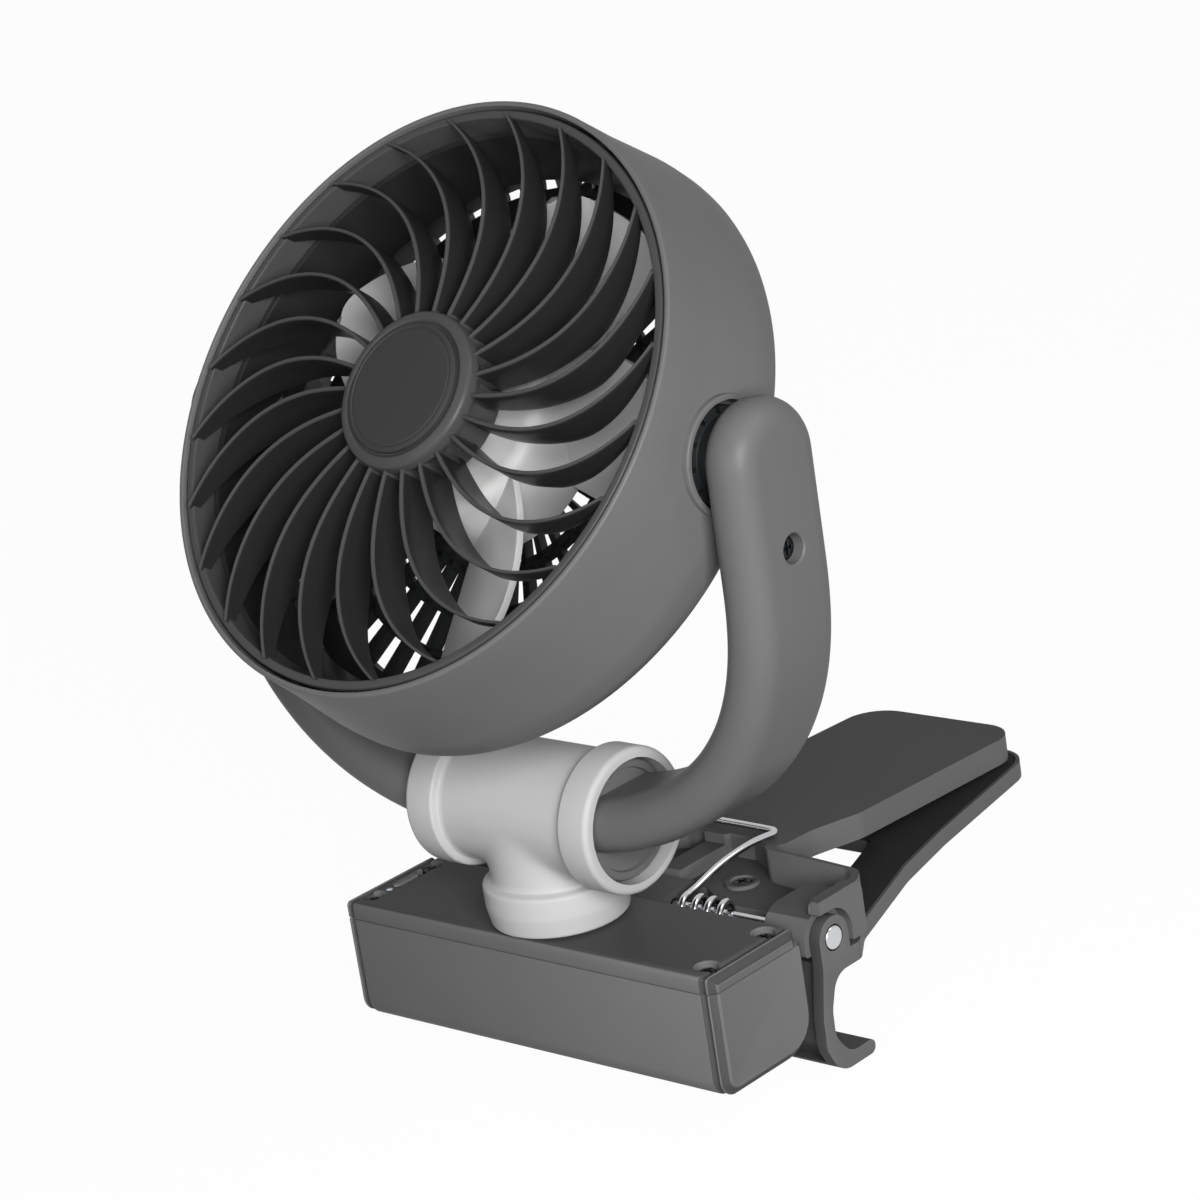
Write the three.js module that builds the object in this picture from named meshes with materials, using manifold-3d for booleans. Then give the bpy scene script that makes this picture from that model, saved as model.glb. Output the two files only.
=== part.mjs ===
// Clip fan: a round tilting fan head on a yoke, a tee on a battery box, and a sprung clip behind it.
// Millimetres, +Z up, X along the box, the clip jaws toward +Y, origin in the middle of the box's foot.
import * as THREE from "three";
import { mergeVertices } from "three/addons/utils/BufferGeometryUtils.js";
import Module from "manifold-3d";

const wasm = await Module();
wasm.setup();

// ---------------------------------------------------------------- driving dimensions
const GAP = 0.3; // gap kept between two mouldings that rest on each other
const RUNNING = 0.4; // gap round a piece that turns
const PLAY = 0.12; // play of a screw or pin in its hole
const FINE = 40; // steps round a large circle
const ROUND = 20; // steps round a medium circle
const TEE_STEPS = 32; // steps round the tee and what turns in it
const SMALL = 8; // steps round a screw or pin
const ARC = 3; // steps in a quarter of a rounded corner

const BOX = {
  length: 110,
  front: -14.5,
  lidBack: 14.5,
  back: 16.5,
  height: 28.4,
  lid: 4,
  wall: 1.8,
  corner: 3,
  foot: 2.5,
  heel: 9,
  lidEdge: 1.2,
  lidTop: 2,
};
const BOX_SCREW = {
  x: BOX.length / 2 - 5.4,
  front: -9.2,
  back: 9.6,
  boss: 3,
  head: 2.2,
  shank: 0.95,
  length: 10,
  sink: 2.6,
};
const CELL = { radius: 9.2, length: 65, x: BOX.length / 2 - 40.5, y: 1 };
const BOARD = { x0: 2.4 - BOX.length / 2, x1: 31 - BOX.length / 2, y0: -5.9, y1: 6.6, top: 20.5, thick: 1.2 };
const BUTTON = {
  x: 6.2 - BOX.length / 2,
  y: 2.1,
  slot: 11.4,
  width: 3.2,
  bar: 7.6,
  proud: 0.35,
  stroke: 0.5,
  shift: -1.7,
};
const LED = { x: 6.4 - BOX.length / 2, y: -5.1, radius: 0.75 };
const SOCKET = { width: 9, height: 3.2, depth: 7.2, mouth: 0.5 };

const TEE = {
  axis: 54.2,
  half: 26.9,
  collar: 16.1,
  body: 14.2,
  branch: 13.9,
  bore: 13.7,
  band: 8.4,
  foot: 15.3,
  footTop: 38.3,
};
const POST = { bore: 3.2, neck: 6.6, hub: 12.4, spigot: 5.6, web: 35.2, webThick: 2.4, nut: 9.4, nutTall: 2.2 };

const YOKE = { pivot: 84, reach: 75.4, thick: 12, wide: 25.5, bend: 62.9, square: 2.47, nose: 5.6 };
const BARREL = { half: 24.6, tenonWide: 15, tenonThick: 7, tenonLong: 12, cable: 2.6, drop: 2.1 };
const ARM_SCREW = { up: 66, recess: 3.1, sink: 3.4, head: 2.6, shank: 1.3, length: 6 };
const PIVOT = { pin: 3.2, head: 5.6, into: 6, pad: 12.5, dish: 11.4, washer: 10.4 };

const HEAD = { tilt: 37.6, ring: 23.5, front: 65.7, back: 68.3, rear: -7.5, round: 6, wall: 2.3, lip: 1.3, floor: 57 };
const GRILLE = {
  vanes: 24,
  phase: 0.08,
  outer: 63.6,
  inner: 61.9,
  front: 22.7,
  crown: 1.6,
  deep: 10,
  taper: 0.7,
  thin: 1.05,
  sweep: 27,
  bend: 2,
};
const HUB = { outer: 17.7, proud: 26.2, back: 13, disc: 12.9, step: 14.6, capProud: 27.6 };
const REAR = { bars: 40, rings: [27.2, 36.6, 46.2], thin: 1.9, deep: 2.2, mount: 19, flange: 60.4, cup: 4.4 };
const MOTOR = { radius: 14.2, front: 2.5, shaft: 1.5, shaftTop: 7.4 };
const ROTOR = {
  blades: 5,
  hub: 22.5,
  wall: 1.6,
  front: 9.6,
  back: -8.2,
  tip: 54,
  thick: 1.5,
  rootSpan: 60,
  tipSpan: 27,
  set: 4,
  camber: 1.6,
  flat: 0.32,
};
const GRILLE_SCREW = { head: 2.4, shank: 1.1 };

const PIN = { y: 26.8, z: 20.8, rod: 1.4, head: 2.7, ear: 4.9 };
const CLIP = { half: 54, ear: 3.1, arch: 6.4, earFront: 23.2, earBack: 38, earFoot: 17.7 };
const PLATE = { half: 22.8, neck: 19.5, root: 54, tip: 139.5, top: 26.7, thick: 6.2, fall: 2.1, corner: 9, pad: 1.3 };
const FLOOR = { low: 19.5, high: 21.2, rim: 30.2, wall: 1.7, boss: 4, recess: 2.9, screwX: 16, screwY: 41.8 };
const LUG = { inner: 39.5, radius: 6.4, back: 37 };
const RIDGE = { half: 3, top: 24.8, nose: 36.5 };
const SADDLE = { half: 8.6, low: 17.5, top: 24.3, front: 16.8, plateHalf: 21, plateBack: 48, plateTop: 19.2, screw: 1.1 };
const JAW = { low: 12.6, top: 16.8, tip: 141.5, corner: 10, webTop: 15.2, pad: 1, margin: 0.9, padBack: 41.4, coilBack: 33.6 };
const SPRING = { wire: 0.8, mean: 3.2, inner: 12.6, outer: 24.4, turns: 3, loopHalf: 14.6, loopY: 57.4, corner: 1.7 };

// ---------------------------------------------------------------- derived levels
const HALF = BOX.length / 2;
const LID_LOW = BOX.height - BOX.lid + GAP / 2;
const SHELL_TOP = BOX.height - BOX.lid - GAP / 2;
const LID_UNDER = BOX.height - BOX.lidTop;
const SOCKET_TOP = BOARD.top - BOARD.thick - PLAY;
const EAR_IN = CLIP.half - CLIP.ear; // inner face of the clip's ears
const PIVOT_Z = TEE.axis + YOKE.pivot;
const ARM_IN = YOKE.reach - YOKE.thick / 2;
const ARM_OUT = YOKE.reach + YOKE.thick / 2;
const TURN = Math.PI * 2;
const QUARTER = Math.PI / 2;
const HAIR = 0.01; // how far a cutting shape passes a face it opens

const FINISH = {
  charcoal: { color: "#3f4042", roughness: 0.55, metalness: 0 },
  black: { color: "#232425", roughness: 0.6, metalness: 0 },
  rubber: { color: "#1b1b1c", roughness: 0.9, metalness: 0 },
  white: { color: "#dcdcda", roughness: 0.5, metalness: 0 },
  pale: { color: "#a9a9a8", roughness: 0.45, metalness: 0 },
  chrome: { color: "#e6e7e8", roughness: 0.15, metalness: 1 },
  steel: { color: "#9b9da0", roughness: 0.35, metalness: 1 },
  board: { color: "#1f5a36", roughness: 0.6, metalness: 0 },
  cell: { color: "#2c6fa8", roughness: 0.5, metalness: 0 },
  lens: { color: "#e9f3ff", roughness: 0.2, metalness: 0 },
};

// ---------------------------------------------------------------- solids
/** Turns a three geometry into a manifold solid. */
function solid(geometry) {
  const bare = geometry.clone();
  bare.deleteAttribute("normal");
  bare.deleteAttribute("uv");
  const merged = mergeVertices(bare, 1e-4);
  const p = merged.attributes.position;
  const index = Array.from(merged.index.array);
  const tris = [];
  let volume = 0;
  const a = new THREE.Vector3();
  const b = new THREE.Vector3();
  const c = new THREE.Vector3();
  for (let i = 0; i < index.length; i += 3) {
    const [u, v, w] = [index[i], index[i + 1], index[i + 2]];
    if (u === v || v === w || u === w) continue;
    tris.push([u, v, w]);
    a.fromBufferAttribute(p, u);
    b.fromBufferAttribute(p, v);
    c.fromBufferAttribute(p, w);
    volume += a.dot(b.cross(c));
  }
  const facing = volume < 0 ? tris.map(([u, v, w]) => [u, w, v]) : tris;
  const mesh = { numProp: 3, vertProperties: new Float32Array(p.array), triVerts: new Uint32Array(facing.flat()) };
  return new wasm.Manifold(new wasm.Mesh(mesh));
}

/** Turns a manifold solid back into a three geometry. */
function surface(body) {
  const mesh = body.getMesh();
  const geometry = new THREE.BufferGeometry();
  geometry.setAttribute("position", new THREE.BufferAttribute(new Float32Array(mesh.vertProperties), 3));
  geometry.setIndex(new THREE.BufferAttribute(new Uint32Array(mesh.triVerts), 1));
  geometry.computeVertexNormals();
  return geometry;
}

const join = (...bodies) => bodies.reduce((sum, next) => sum.add(next));
const cut = (body, ...tools) => tools.reduce((left, tool) => left.subtract(tool), body);

/** A shape from a closed list of [x, y] points. */
function outline(points) {
  return new THREE.Shape(points.map(([x, y]) => new THREE.Vector2(x, y)));
}

/** Points of a polygon whose corners [x, y, radius] are rounded. */
function rounded(corners, steps = ARC) {
  const out = [];
  corners.forEach(([x, y, r = 0], i) => {
    const at = new THREE.Vector2(x, y);
    const [px, py] = corners[(i + corners.length - 1) % corners.length];
    const [nx, ny] = corners[(i + 1) % corners.length];
    const back = new THREE.Vector2(px, py).sub(at).normalize();
    const on = new THREE.Vector2(nx, ny).sub(at).normalize();
    const half = Math.acos(Math.min(1, Math.max(-1, back.dot(on)))) / 2;
    if (r <= 0 || half > QUARTER - HAIR) {
      out.push([x, y]);
      return;
    }
    const run = r / Math.tan(half);
    const middle = back.clone().add(on).normalize().multiplyScalar(r / Math.sin(half)).add(at);
    const start = at.clone().addScaledVector(back, run).sub(middle);
    const end = at.clone().addScaledVector(on, run).sub(middle);
    const turn = Math.atan2(start.x * end.y - start.y * end.x, start.dot(end));
    for (let k = 0; k <= steps; k += 1) {
      const t = (turn * k) / steps;
      const c = Math.cos(t);
      const s = Math.sin(t);
      out.push([middle.x + start.x * c - start.y * s, middle.y + start.x * s + start.y * c]);
    }
  });
  return out.filter(([x, y], i) => {
    const [px, py] = out[(i + out.length - 1) % out.length];
    return Math.hypot(x - px, y - py) > HAIR;
  });
}

/** A prism on an x-y outline between two heights. */
function upright(points, low, high) {
  const geometry = new THREE.ExtrudeGeometry(outline(points), { depth: high - low, bevelEnabled: false });
  geometry.translate(0, 0, low);
  return solid(geometry);
}

/** A prism on a y-z outline between two x values. */
function along(points, x0, x1) {
  const geometry = new THREE.ExtrudeGeometry(outline(points), { depth: x1 - x0, bevelEnabled: false });
  const axes = new THREE.Matrix4().makeBasis(
    new THREE.Vector3(0, 1, 0),
    new THREE.Vector3(0, 0, 1),
    new THREE.Vector3(1, 0, 0),
  );
  geometry.applyMatrix4(axes);
  geometry.translate(x0, 0, 0);
  return solid(geometry);
}

/** A block between two corners. */
function block(x0, x1, y0, y1, z0, z1) {
  const geometry = new THREE.BoxGeometry(x1 - x0, y1 - y0, z1 - z0);
  geometry.translate((x0 + x1) / 2, (y0 + y1) / 2, (z0 + z1) / 2);
  return solid(geometry);
}

/** A turned solid about Z from [radius, height] points that start and end on the axis or close on themselves. */
function turned(points, steps = ROUND) {
  const profile = points.map(([r, z]) => new THREE.Vector2(r, z));
  const geometry = new THREE.LatheGeometry(profile, steps);
  geometry.rotateX(QUARTER);
  return solid(geometry);
}

const ringed = (points, steps) => turned([...points, points[0]], steps);
const rod = (r, low, high, steps = SMALL) => turned([[0, low], [r, low], [r, high], [0, high]], steps);
const tube = (inner, outer, low, high, steps = ROUND) =>
  ringed([[inner, low], [outer, low], [outer, high], [inner, high]], steps);

/** Stands a Z-axis solid along X, its height running toward +X. */
const toX = (body, y, z) => body.rotate([0, 90, 0]).translate([0, y, z]);
/** Lays a Z-axis solid along Y, its height running toward +Y. */
const toY = (body, x, z) => body.rotate([-90, 0, 0]).translate([x, 0, z]);
const mirrorX = (body) => body.mirror([1, 0, 0]);
const cutBoth = (body, ...tools) => cut(body, ...tools, ...tools.map(mirrorX));
const joinBoth = (body, ...more) => join(body, ...more, ...more.map(mirrorX));
/** A whole outline from its right half, whose first and last points lie on the middle line. */
const whole = (half) => [...half.slice(1, -1), ...half.slice(1, -1).map(([x, y]) => [-x, y]).reverse()];

/** A box whose points are moved by a rule of (u, v, w), each from 0 to 1. */
function warped(nu, nv, nw, rule) {
  const geometry = new THREE.BoxGeometry(1, 1, 1, nu, nv, nw);
  const p = geometry.attributes.position;
  for (let i = 0; i < p.count; i += 1) {
    const [x, y, z] = rule(p.getX(i) + 0.5, p.getY(i) + 0.5, p.getZ(i) + 0.5);
    p.setXYZ(i, x, y, z);
  }
  return solid(geometry);
}

/** Puts a solid made in the head's own frame (fan axis +Z, up +Y) into its tilted place. */
function inHead(body) {
  return body.rotate([90 - HEAD.tilt, 0, 0]).translate([0, 0, PIVOT_Z]);
}

// ---------------------------------------------------------------- battery box
const plan = (inset, back) =>
  rounded([
    [-HALF + inset, BOX.front + inset, BOX.corner - inset / 2],
    [HALF - inset, BOX.front + inset, BOX.corner - inset / 2],
    [HALF - inset, back - inset, BOX.corner - inset / 2],
    [-HALF + inset, back - inset, BOX.corner - inset / 2],
  ]);

const sideProfile = (inset, top) =>
  rounded([
    [BOX.front + inset, inset, BOX.foot],
    [BOX.back - inset, inset, BOX.heel - inset],
    [BOX.back - inset, top, 0],
    [BOX.front + inset, top, 0],
  ]);

const SCREW_SPOTS = [
  [-BOX_SCREW.x, BOX_SCREW.front],
  [-BOX_SCREW.x, BOX_SCREW.back],
  [BOX_SCREW.x, BOX_SCREW.back],
  [BOX_SCREW.x, BOX_SCREW.front],
];
const SADDLE_SCREW = { x: 5, z: 20.6, head: 2.3, headTall: 1.5, shank: 1.1, length: 11 };

function boxShell() {
  const skin = along(sideProfile(0, SHELL_TOP), -HALF, HALF).intersect(upright(plan(0, BOX.back), 0, SHELL_TOP));
  const hollow = along(sideProfile(BOX.wall, BOX.height), -HALF, HALF).intersect(
    upright(plan(BOX.wall, BOX.back), 0, BOX.height),
  );
  let body = skin.subtract(hollow);
  const bossTop = SHELL_TOP - GAP * 2;
  for (const [x, y] of SCREW_SPOTS) {
    const post = rod(BOX_SCREW.boss, BOX.wall - HAIR, bossTop).translate([x, y, 0]);
    const hole = rod(BOX_SCREW.shank + PLAY, bossTop - BOX_SCREW.length, bossTop + 1).translate([x, y, 0]);
    body = body.add(post.intersect(skin)).subtract(hole);
  }
  const cellZ = BOX.wall + GAP + CELL.radius;
  const cradle = (x) =>
    block(x - 1, x + 1, BOX.front + 1, BOX.back - 1, BOX.wall - HAIR, cellZ - 2)
      .subtract(toX(rod(CELL.radius + GAP, x - 2, x + 2, ROUND), CELL.y, cellZ));
  const stand = (x) => block(x - 1, x + 1, BOARD.y0 + 1, BOARD.y1 - 1, BOX.wall - HAIR, BOARD.top - BOARD.thick - GAP);
  body = join(body, cradle(CELL.x - 22), cradle(CELL.x + 22), stand(-42), stand(-28)).intersect(skin);
  const mouth = block(-HALF - 1, -HALF + BOX.wall + 1, -SOCKET.width / 2 - GAP, SOCKET.width / 2 + GAP,
    SOCKET_TOP - SOCKET.height - GAP, SOCKET_TOP + GAP);
  const bolt = (x) => toY(rod(SADDLE_SCREW.shank + PLAY, BOX.back - BOX.wall - 1, BOX.back + 1), x, SADDLE_SCREW.z);
  return cut(body, mouth, bolt(-SADDLE_SCREW.x), bolt(SADDLE_SCREW.x));
}

function boxLid() {
  const points = plan(0, BOX.lidBack);
  const inner = plan(BOX.lidEdge, BOX.lidBack);
  const slab = upright(points, LID_LOW, BOX.height - BOX.lidEdge);
  const steps = 2;
  let body = slab;
  for (let k = 1; k <= steps; k += 1) {
    const t0 = ((k - 1) / steps) * QUARTER;
    const t1 = (k / steps) * QUARTER;
    const inset = BOX.lidEdge * (1 - Math.cos(t1));
    const low = BOX.height - BOX.lidEdge + BOX.lidEdge * Math.sin(t0) - HAIR;
    const high = BOX.height - BOX.lidEdge + BOX.lidEdge * Math.sin(t1);
    const layer = k === steps ? inner : plan(inset, BOX.lidBack);
    body = body.add(upright(layer, low, high));
  }
  body = body.subtract(upright(plan(BOX.wall, BOX.lidBack), LID_LOW - 1, LID_UNDER));
  for (const [x, y] of SCREW_SPOTS) {
    const boss = rod(BOX_SCREW.head + 1.2, LID_LOW - GAP, LID_UNDER + HAIR).translate([x, y, 0]);
    body = body.add(boss.intersect(upright(points, 0, BOX.height)));
    const sink = rod(BOX_SCREW.head + GAP, BOX.height - BOX_SCREW.sink, BOX.height + 1).translate([x, y, 0]);
    const hole = rod(BOX_SCREW.shank + PLAY, LID_LOW - 2, BOX.height).translate([x, y, 0]);
    body = cut(body, sink, hole);
  }
  const slot = upright(buttonOutline(BUTTON.slot, BUTTON.width), LID_LOW - 1, BOX.height + 1);
  const led = rod(LED.radius + PLAY, LID_LOW - 1, BOX.height + 1).translate([LED.x, LED.y, 0]);
  const neck = rod(POST.neck + GAP, LID_LOW - 1, BOX.height + 1, ROUND);
  return cut(body, slot, led, neck);
}

/** A rounded oblong along Y at the button's place. */
function buttonOutline(long, wide, shift = 0) {
  const y = BUTTON.y + shift;
  return rounded([
    [BUTTON.x - wide / 2, y - long / 2, wide / 2],
    [BUTTON.x + wide / 2, y - long / 2, wide / 2],
    [BUTTON.x + wide / 2, y + long / 2, wide / 2],
    [BUTTON.x - wide / 2, y + long / 2, wide / 2],
  ]);
}

function powerButton() {
  const wide = BUTTON.width - GAP * 2;
  const pad = buttonOutline(BUTTON.bar, wide, BUTTON.shift);
  const bar = upright(pad, LID_UNDER - 1, BOX.height + BUTTON.proud);
  const flange = upright(buttonOutline(BUTTON.slot - GAP * 2, wide), LID_UNDER - 1.6, LID_UNDER - GAP);
  return bar.add(flange);
}

function boxScrew([x, y]) {
  const seat = BOX.height - BOX_SCREW.sink + PLAY;
  const head = rod(BOX_SCREW.head, seat, seat + 1.5);
  const shank = rod(BOX_SCREW.shank, seat - BOX_SCREW.length + 1, seat + HAIR);
  return join(head, shank).subtract(crossSocket(seat + 1.5, 1.4)).translate([x, y, 0]);
}

/** A cross drive sunk from a height. */
function crossSocket(top, size) {
  const half = size;
  const thin = size / 5;
  const low = top - size / 2;
  return join(block(-half, half, -thin, thin, low, top + 1), block(-thin, thin, -half, half, low, top + 1));
}

function batteryCell() {
  const z = BOX.wall + GAP + CELL.radius;
  const half = CELL.length / 2;
  const nipple = 3;
  const body = turned([
    [0, -half],
    [CELL.radius - 0.6, -half],
    [CELL.radius, -half + 0.6],
    [CELL.radius, half - 2],
    [CELL.radius - 0.6, half - 1.2],
    [nipple, half - 1.2],
    [nipple, half],
    [0, half],
  ]);
  return toX(body, CELL.y, z).translate([CELL.x, 0, 0]);
}

function circuitBoard() {
  const low = BOARD.top - BOARD.thick;
  const plate = block(BOARD.x0, BOARD.x1, BOARD.y0, BOARD.y1, low, BOARD.top);
  const chip = block(BOARD.x1 - 14, BOARD.x1 - 8, -3, 3, BOARD.top - HAIR, BOARD.top + 1.2);
  const coil = rod(2.4, BOARD.top - HAIR, BOARD.top + 2.6).translate([BOARD.x1 - 4, 2, 0]);
  return join(plate, chip, coil);
}

function tactSwitch() {
  const top = LID_UNDER - 1.6 - BUTTON.stroke - GAP / 2;
  const size = 4.2;
  const base = block(BUTTON.x - size / 2, BUTTON.x + size / 2, BUTTON.y - size / 2, BUTTON.y + size / 2,
    BOARD.top + PLAY, top - 0.8);
  const stem = rod(1.2, top - 1, top).translate([BUTTON.x, BUTTON.y, 0]);
  return base.add(stem);
}

function statusLens() {
  const pipe = rod(LED.radius, BOARD.top + PLAY, BOX.height - PLAY);
  const foot = rod(LED.radius + 0.25, BOARD.top + PLAY, BOARD.top + 1.5);
  return pipe.add(foot).translate([LED.x, LED.y, 0]);
}

function chargeSocket() {
  const x0 = -HALF + SOCKET.mouth;
  const can = (inset, from, to) =>
    along(
      rounded([
        [-SOCKET.width / 2 + inset, SOCKET_TOP - SOCKET.height + inset, 1.1],
        [SOCKET.width / 2 - inset, SOCKET_TOP - SOCKET.height + inset, 1.1],
        [SOCKET.width / 2 - inset, SOCKET_TOP - inset, 1.1],
        [-SOCKET.width / 2 + inset, SOCKET_TOP - inset, 1.1],
      ], 3), from, to);
  return can(0, x0, x0 + SOCKET.depth).subtract(can(0.4, x0 - 1, x0 + SOCKET.depth - 1));
}

// ---------------------------------------------------------------- swivel post and tee
const HUB_LOW = BOX.height + GAP;
const NUT_LOW = POST.web + POST.webThick + GAP;

function swivelPost() {
  const top = NUT_LOW + POST.nutTall + PLAY;
  return ringed([
    [POST.bore, LID_UNDER - 2],
    [POST.neck, LID_UNDER - 2],
    [POST.neck, HUB_LOW],
    [POST.hub, HUB_LOW],
    [POST.hub, POST.web - GAP],
    [POST.spigot, POST.web - GAP],
    [POST.spigot, top],
    [POST.bore, top],
  ]);
}

/** A six-sided ring nut round the post. */
function ringNut(inner, outer, low, high) {
  return rod(outer, low, high, 6).subtract(rod(inner, low - 1, high + 1, ROUND));
}

function teeFitting() {
  const edge = 1.2;
  const rim = TEE.collar - edge;
  const inner = TEE.half - TEE.band;
  const runHalf = [
    [TEE.body, inner - edge],
    [TEE.collar, inner],
    [TEE.collar, TEE.half - edge],
    [rim, TEE.half],
  ];
  const mirrored = runHalf.map(([r, z]) => [r, -z]).reverse();
  const run = turned([[0, -TEE.half], ...mirrored, ...runHalf, [0, TEE.half]], TEE_STEPS);
  const footLow = HUB_LOW + PLAY;
  const branch = turned([
    [0, footLow],
    [TEE.foot, footLow],
    [TEE.collar, footLow + 5],
    [TEE.collar, TEE.footTop],
    [TEE.branch, TEE.footTop + edge],
    [TEE.branch, TEE.axis - 1],
    [0, TEE.axis - 1],
  ], TEE_STEPS);
  const flare = turned([
    [0, TEE.footTop - 1],
    [TEE.branch - 1, TEE.footTop - 1],
    [TEE.body + 1.2, TEE.footTop + 2.6],
    [TEE.body + 4.6, TEE.footTop + 5.2],
    [0, TEE.footTop + 5.4],
  ], TEE_STEPS).rotate([0, 0, 180 / TEE_STEPS]);
  const reach = TEE.body * 0.78;
  const gusset = flare.intersect(block(-TEE.half, TEE.half, -reach, reach, 0, TEE.axis));
  const runBore = rod(TEE.bore, -TEE.half - 1, TEE.half + 1, TEE_STEPS);
  const low = rod(POST.hub + RUNNING, footLow - 1, POST.web, ROUND);
  const high = rod(POST.nut + RUNNING, POST.web + POST.webThick, TEE.axis, ROUND);
  const eye = rod(POST.spigot + RUNNING, POST.web - 1, TEE.axis, ROUND);
  return cut(join(toX(run, 0, TEE.axis), branch, gusset), toX(runBore, 0, TEE.axis), low, high, eye);
}

// ---------------------------------------------------------------- yoke
/** Middle line of the right arm, [x, height over the tee's axis], from the barrel up past the pivot. */
function armLine() {
  const out = [];
  const start = BARREL.half + GAP;
  const first = Math.acos((start / YOKE.reach) ** (YOKE.square / 2));
  const steps = 18;
  for (let k = 0; k <= steps; k += 1) {
    const t = first * (1 - k / steps);
    const x = YOKE.reach * Math.cos(t) ** (2 / YOKE.square);
    const z = YOKE.bend * (1 - Math.sin(t) ** (2 / YOKE.square));
    out.push([x, z]);
  }
  out.push([YOKE.reach, YOKE.pivot + YOKE.wide / 2 + 1]);
  return out;
}

/** Section of the arm, [y, across], its front edge fully rounded. */
function armSection() {
  const w = YOKE.wide / 2;
  const t = YOKE.thick / 2;
  return rounded([
    [-w, -t, YOKE.nose],
    [w, -t, YOKE.nose],
    [w, t, YOKE.nose],
    [-w, t, YOKE.nose],
  ], 3);
}

function yokeArm() {
  const line = armLine();
  const section = armSection();
  const nodes = line.length - 1;
  const around = section.length;
  const normal = line.map((at, i) => {
    const [x0, z0] = line[Math.max(0, i - 1)];
    const [x1, z1] = line[Math.min(nodes, i + 1)];
    const long = Math.hypot(x1 - x0, z1 - z0);
    return i === 0 ? [0, -1] : [(z1 - z0) / long, -(x1 - x0) / long];
  });
  const bar = new THREE.CylinderGeometry(1, 1, 1, around, nodes, false);
  const p = bar.attributes.position;
  for (let i = 0; i < p.count; i += 1) {
    const v = Math.round((p.getY(i) + 0.5) * nodes);
    const [x, z] = line[v];
    const centre = Math.hypot(p.getX(i), p.getZ(i)) < 0.5;
    const turn = Math.atan2(p.getX(i), p.getZ(i));
    const k = (Math.round((turn / TURN) * around) + around) % around;
    const [y, across] = centre ? [0, 0] : section[k];
    p.setXYZ(i, x + normal[v][0] * across, y, TEE.axis + z + normal[v][1] * across);
  }
  const sweep = solid(bar);
  const top = along(
    rounded([
      [-YOKE.wide, 0, 0],
      [YOKE.wide, 0, 0],
      [YOKE.wide, YOKE.pivot, 0],
      [YOKE.wide / 2, YOKE.pivot, 0],
      [YOKE.wide / 2, YOKE.pivot + YOKE.wide / 2, YOKE.wide / 2],
      [-YOKE.wide / 2, YOKE.pivot + YOKE.wide / 2, YOKE.wide / 2],
      [-YOKE.wide / 2, YOKE.pivot, 0],
      [-YOKE.wide, YOKE.pivot, 0],
    ], 10), 0, ARM_OUT + 1).translate([0, 0, TEE.axis]);
  const low = along(
    rounded([
      [-YOKE.wide, -YOKE.wide, 0],
      [YOKE.wide, -YOKE.wide, 0],
      [YOKE.wide, 1, 0],
      [-YOKE.wide, 1, 0],
    ], 1), 0, ARM_OUT + 1).translate([0, 0, TEE.axis]);
  const body = sweep.intersect(join(top, low));
  const start = BARREL.half + GAP;
  const rise = line[0][1];
  const tenon = block(start - BARREL.tenonLong, start + 1, -BARREL.tenonWide / 2, BARREL.tenonWide / 2,
    TEE.axis + rise - BARREL.tenonThick / 2, TEE.axis + rise + BARREL.tenonThick / 2 - 1);
  const bore = toX(rod(PIVOT.pin + PLAY, ARM_IN - 1, ARM_IN + PIVOT.into, ROUND), 0, PIVOT_Z);
  const screwZ = TEE.axis + ARM_SCREW.up;
  const recess = toX(rod(ARM_SCREW.recess, ARM_OUT - ARM_SCREW.sink, ARM_OUT + 1, ROUND), 0, screwZ);
  const hole = toX(rod(ARM_SCREW.shank + PLAY, ARM_OUT - ARM_SCREW.sink - ARM_SCREW.length - 1, ARM_OUT), 0, screwZ);
  return cut(join(body, tenon), bore, recess, hole);
}

function yokeBarrel() {
  const rise = armLine()[0][1];
  const socket = block(BARREL.half - BARREL.tenonLong, BARREL.half + 1,
    -BARREL.tenonWide / 2 - PLAY * 2, BARREL.tenonWide / 2 + PLAY * 2,
    TEE.axis + rise - BARREL.tenonThick / 2 - PLAY * 2, TEE.axis + rise + BARREL.tenonThick / 2 - 1 + PLAY * 2);
  const body = toX(rod(TEE.bore - RUNNING, -BARREL.half, BARREL.half, TEE_STEPS), 0, TEE.axis);
  const wire = toX(rod(BARREL.cable, -BARREL.half, BARREL.half), 0, TEE.axis);
  const drop = rod(BARREL.drop, TEE.axis - TEE.bore, TEE.axis);
  return cut(body, socket, mirrorX(socket), wire, drop);
}

function armScrew() {
  const seat = ARM_OUT - ARM_SCREW.sink + PLAY;
  const head = rod(ARM_SCREW.head, seat, seat + 1.4);
  const shank = rod(ARM_SCREW.shank, seat - ARM_SCREW.length, seat + HAIR);
  return toX(join(head, shank).subtract(crossSocket(seat + 1.4, 1.4)), 0, TEE.axis + ARM_SCREW.up);
}

const PAD_IN = HEAD.front - 1.2; // floor of the round dish in the drum's side

function pivotPin() {
  const inner = PAD_IN - 3.6;
  const shank = rod(PIVOT.pin, inner, ARM_IN + PIVOT.into - GAP, ROUND);
  const head = rod(PIVOT.head, inner - 2.4, inner, ROUND);
  return toX(shank.add(head), 0, PIVOT_Z);
}

function pivotWasher() {
  return toX(tube(PIVOT.pin + PLAY, PIVOT.washer, PAD_IN + PLAY, ARM_IN - PLAY), 0, PIVOT_Z);
}

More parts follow.
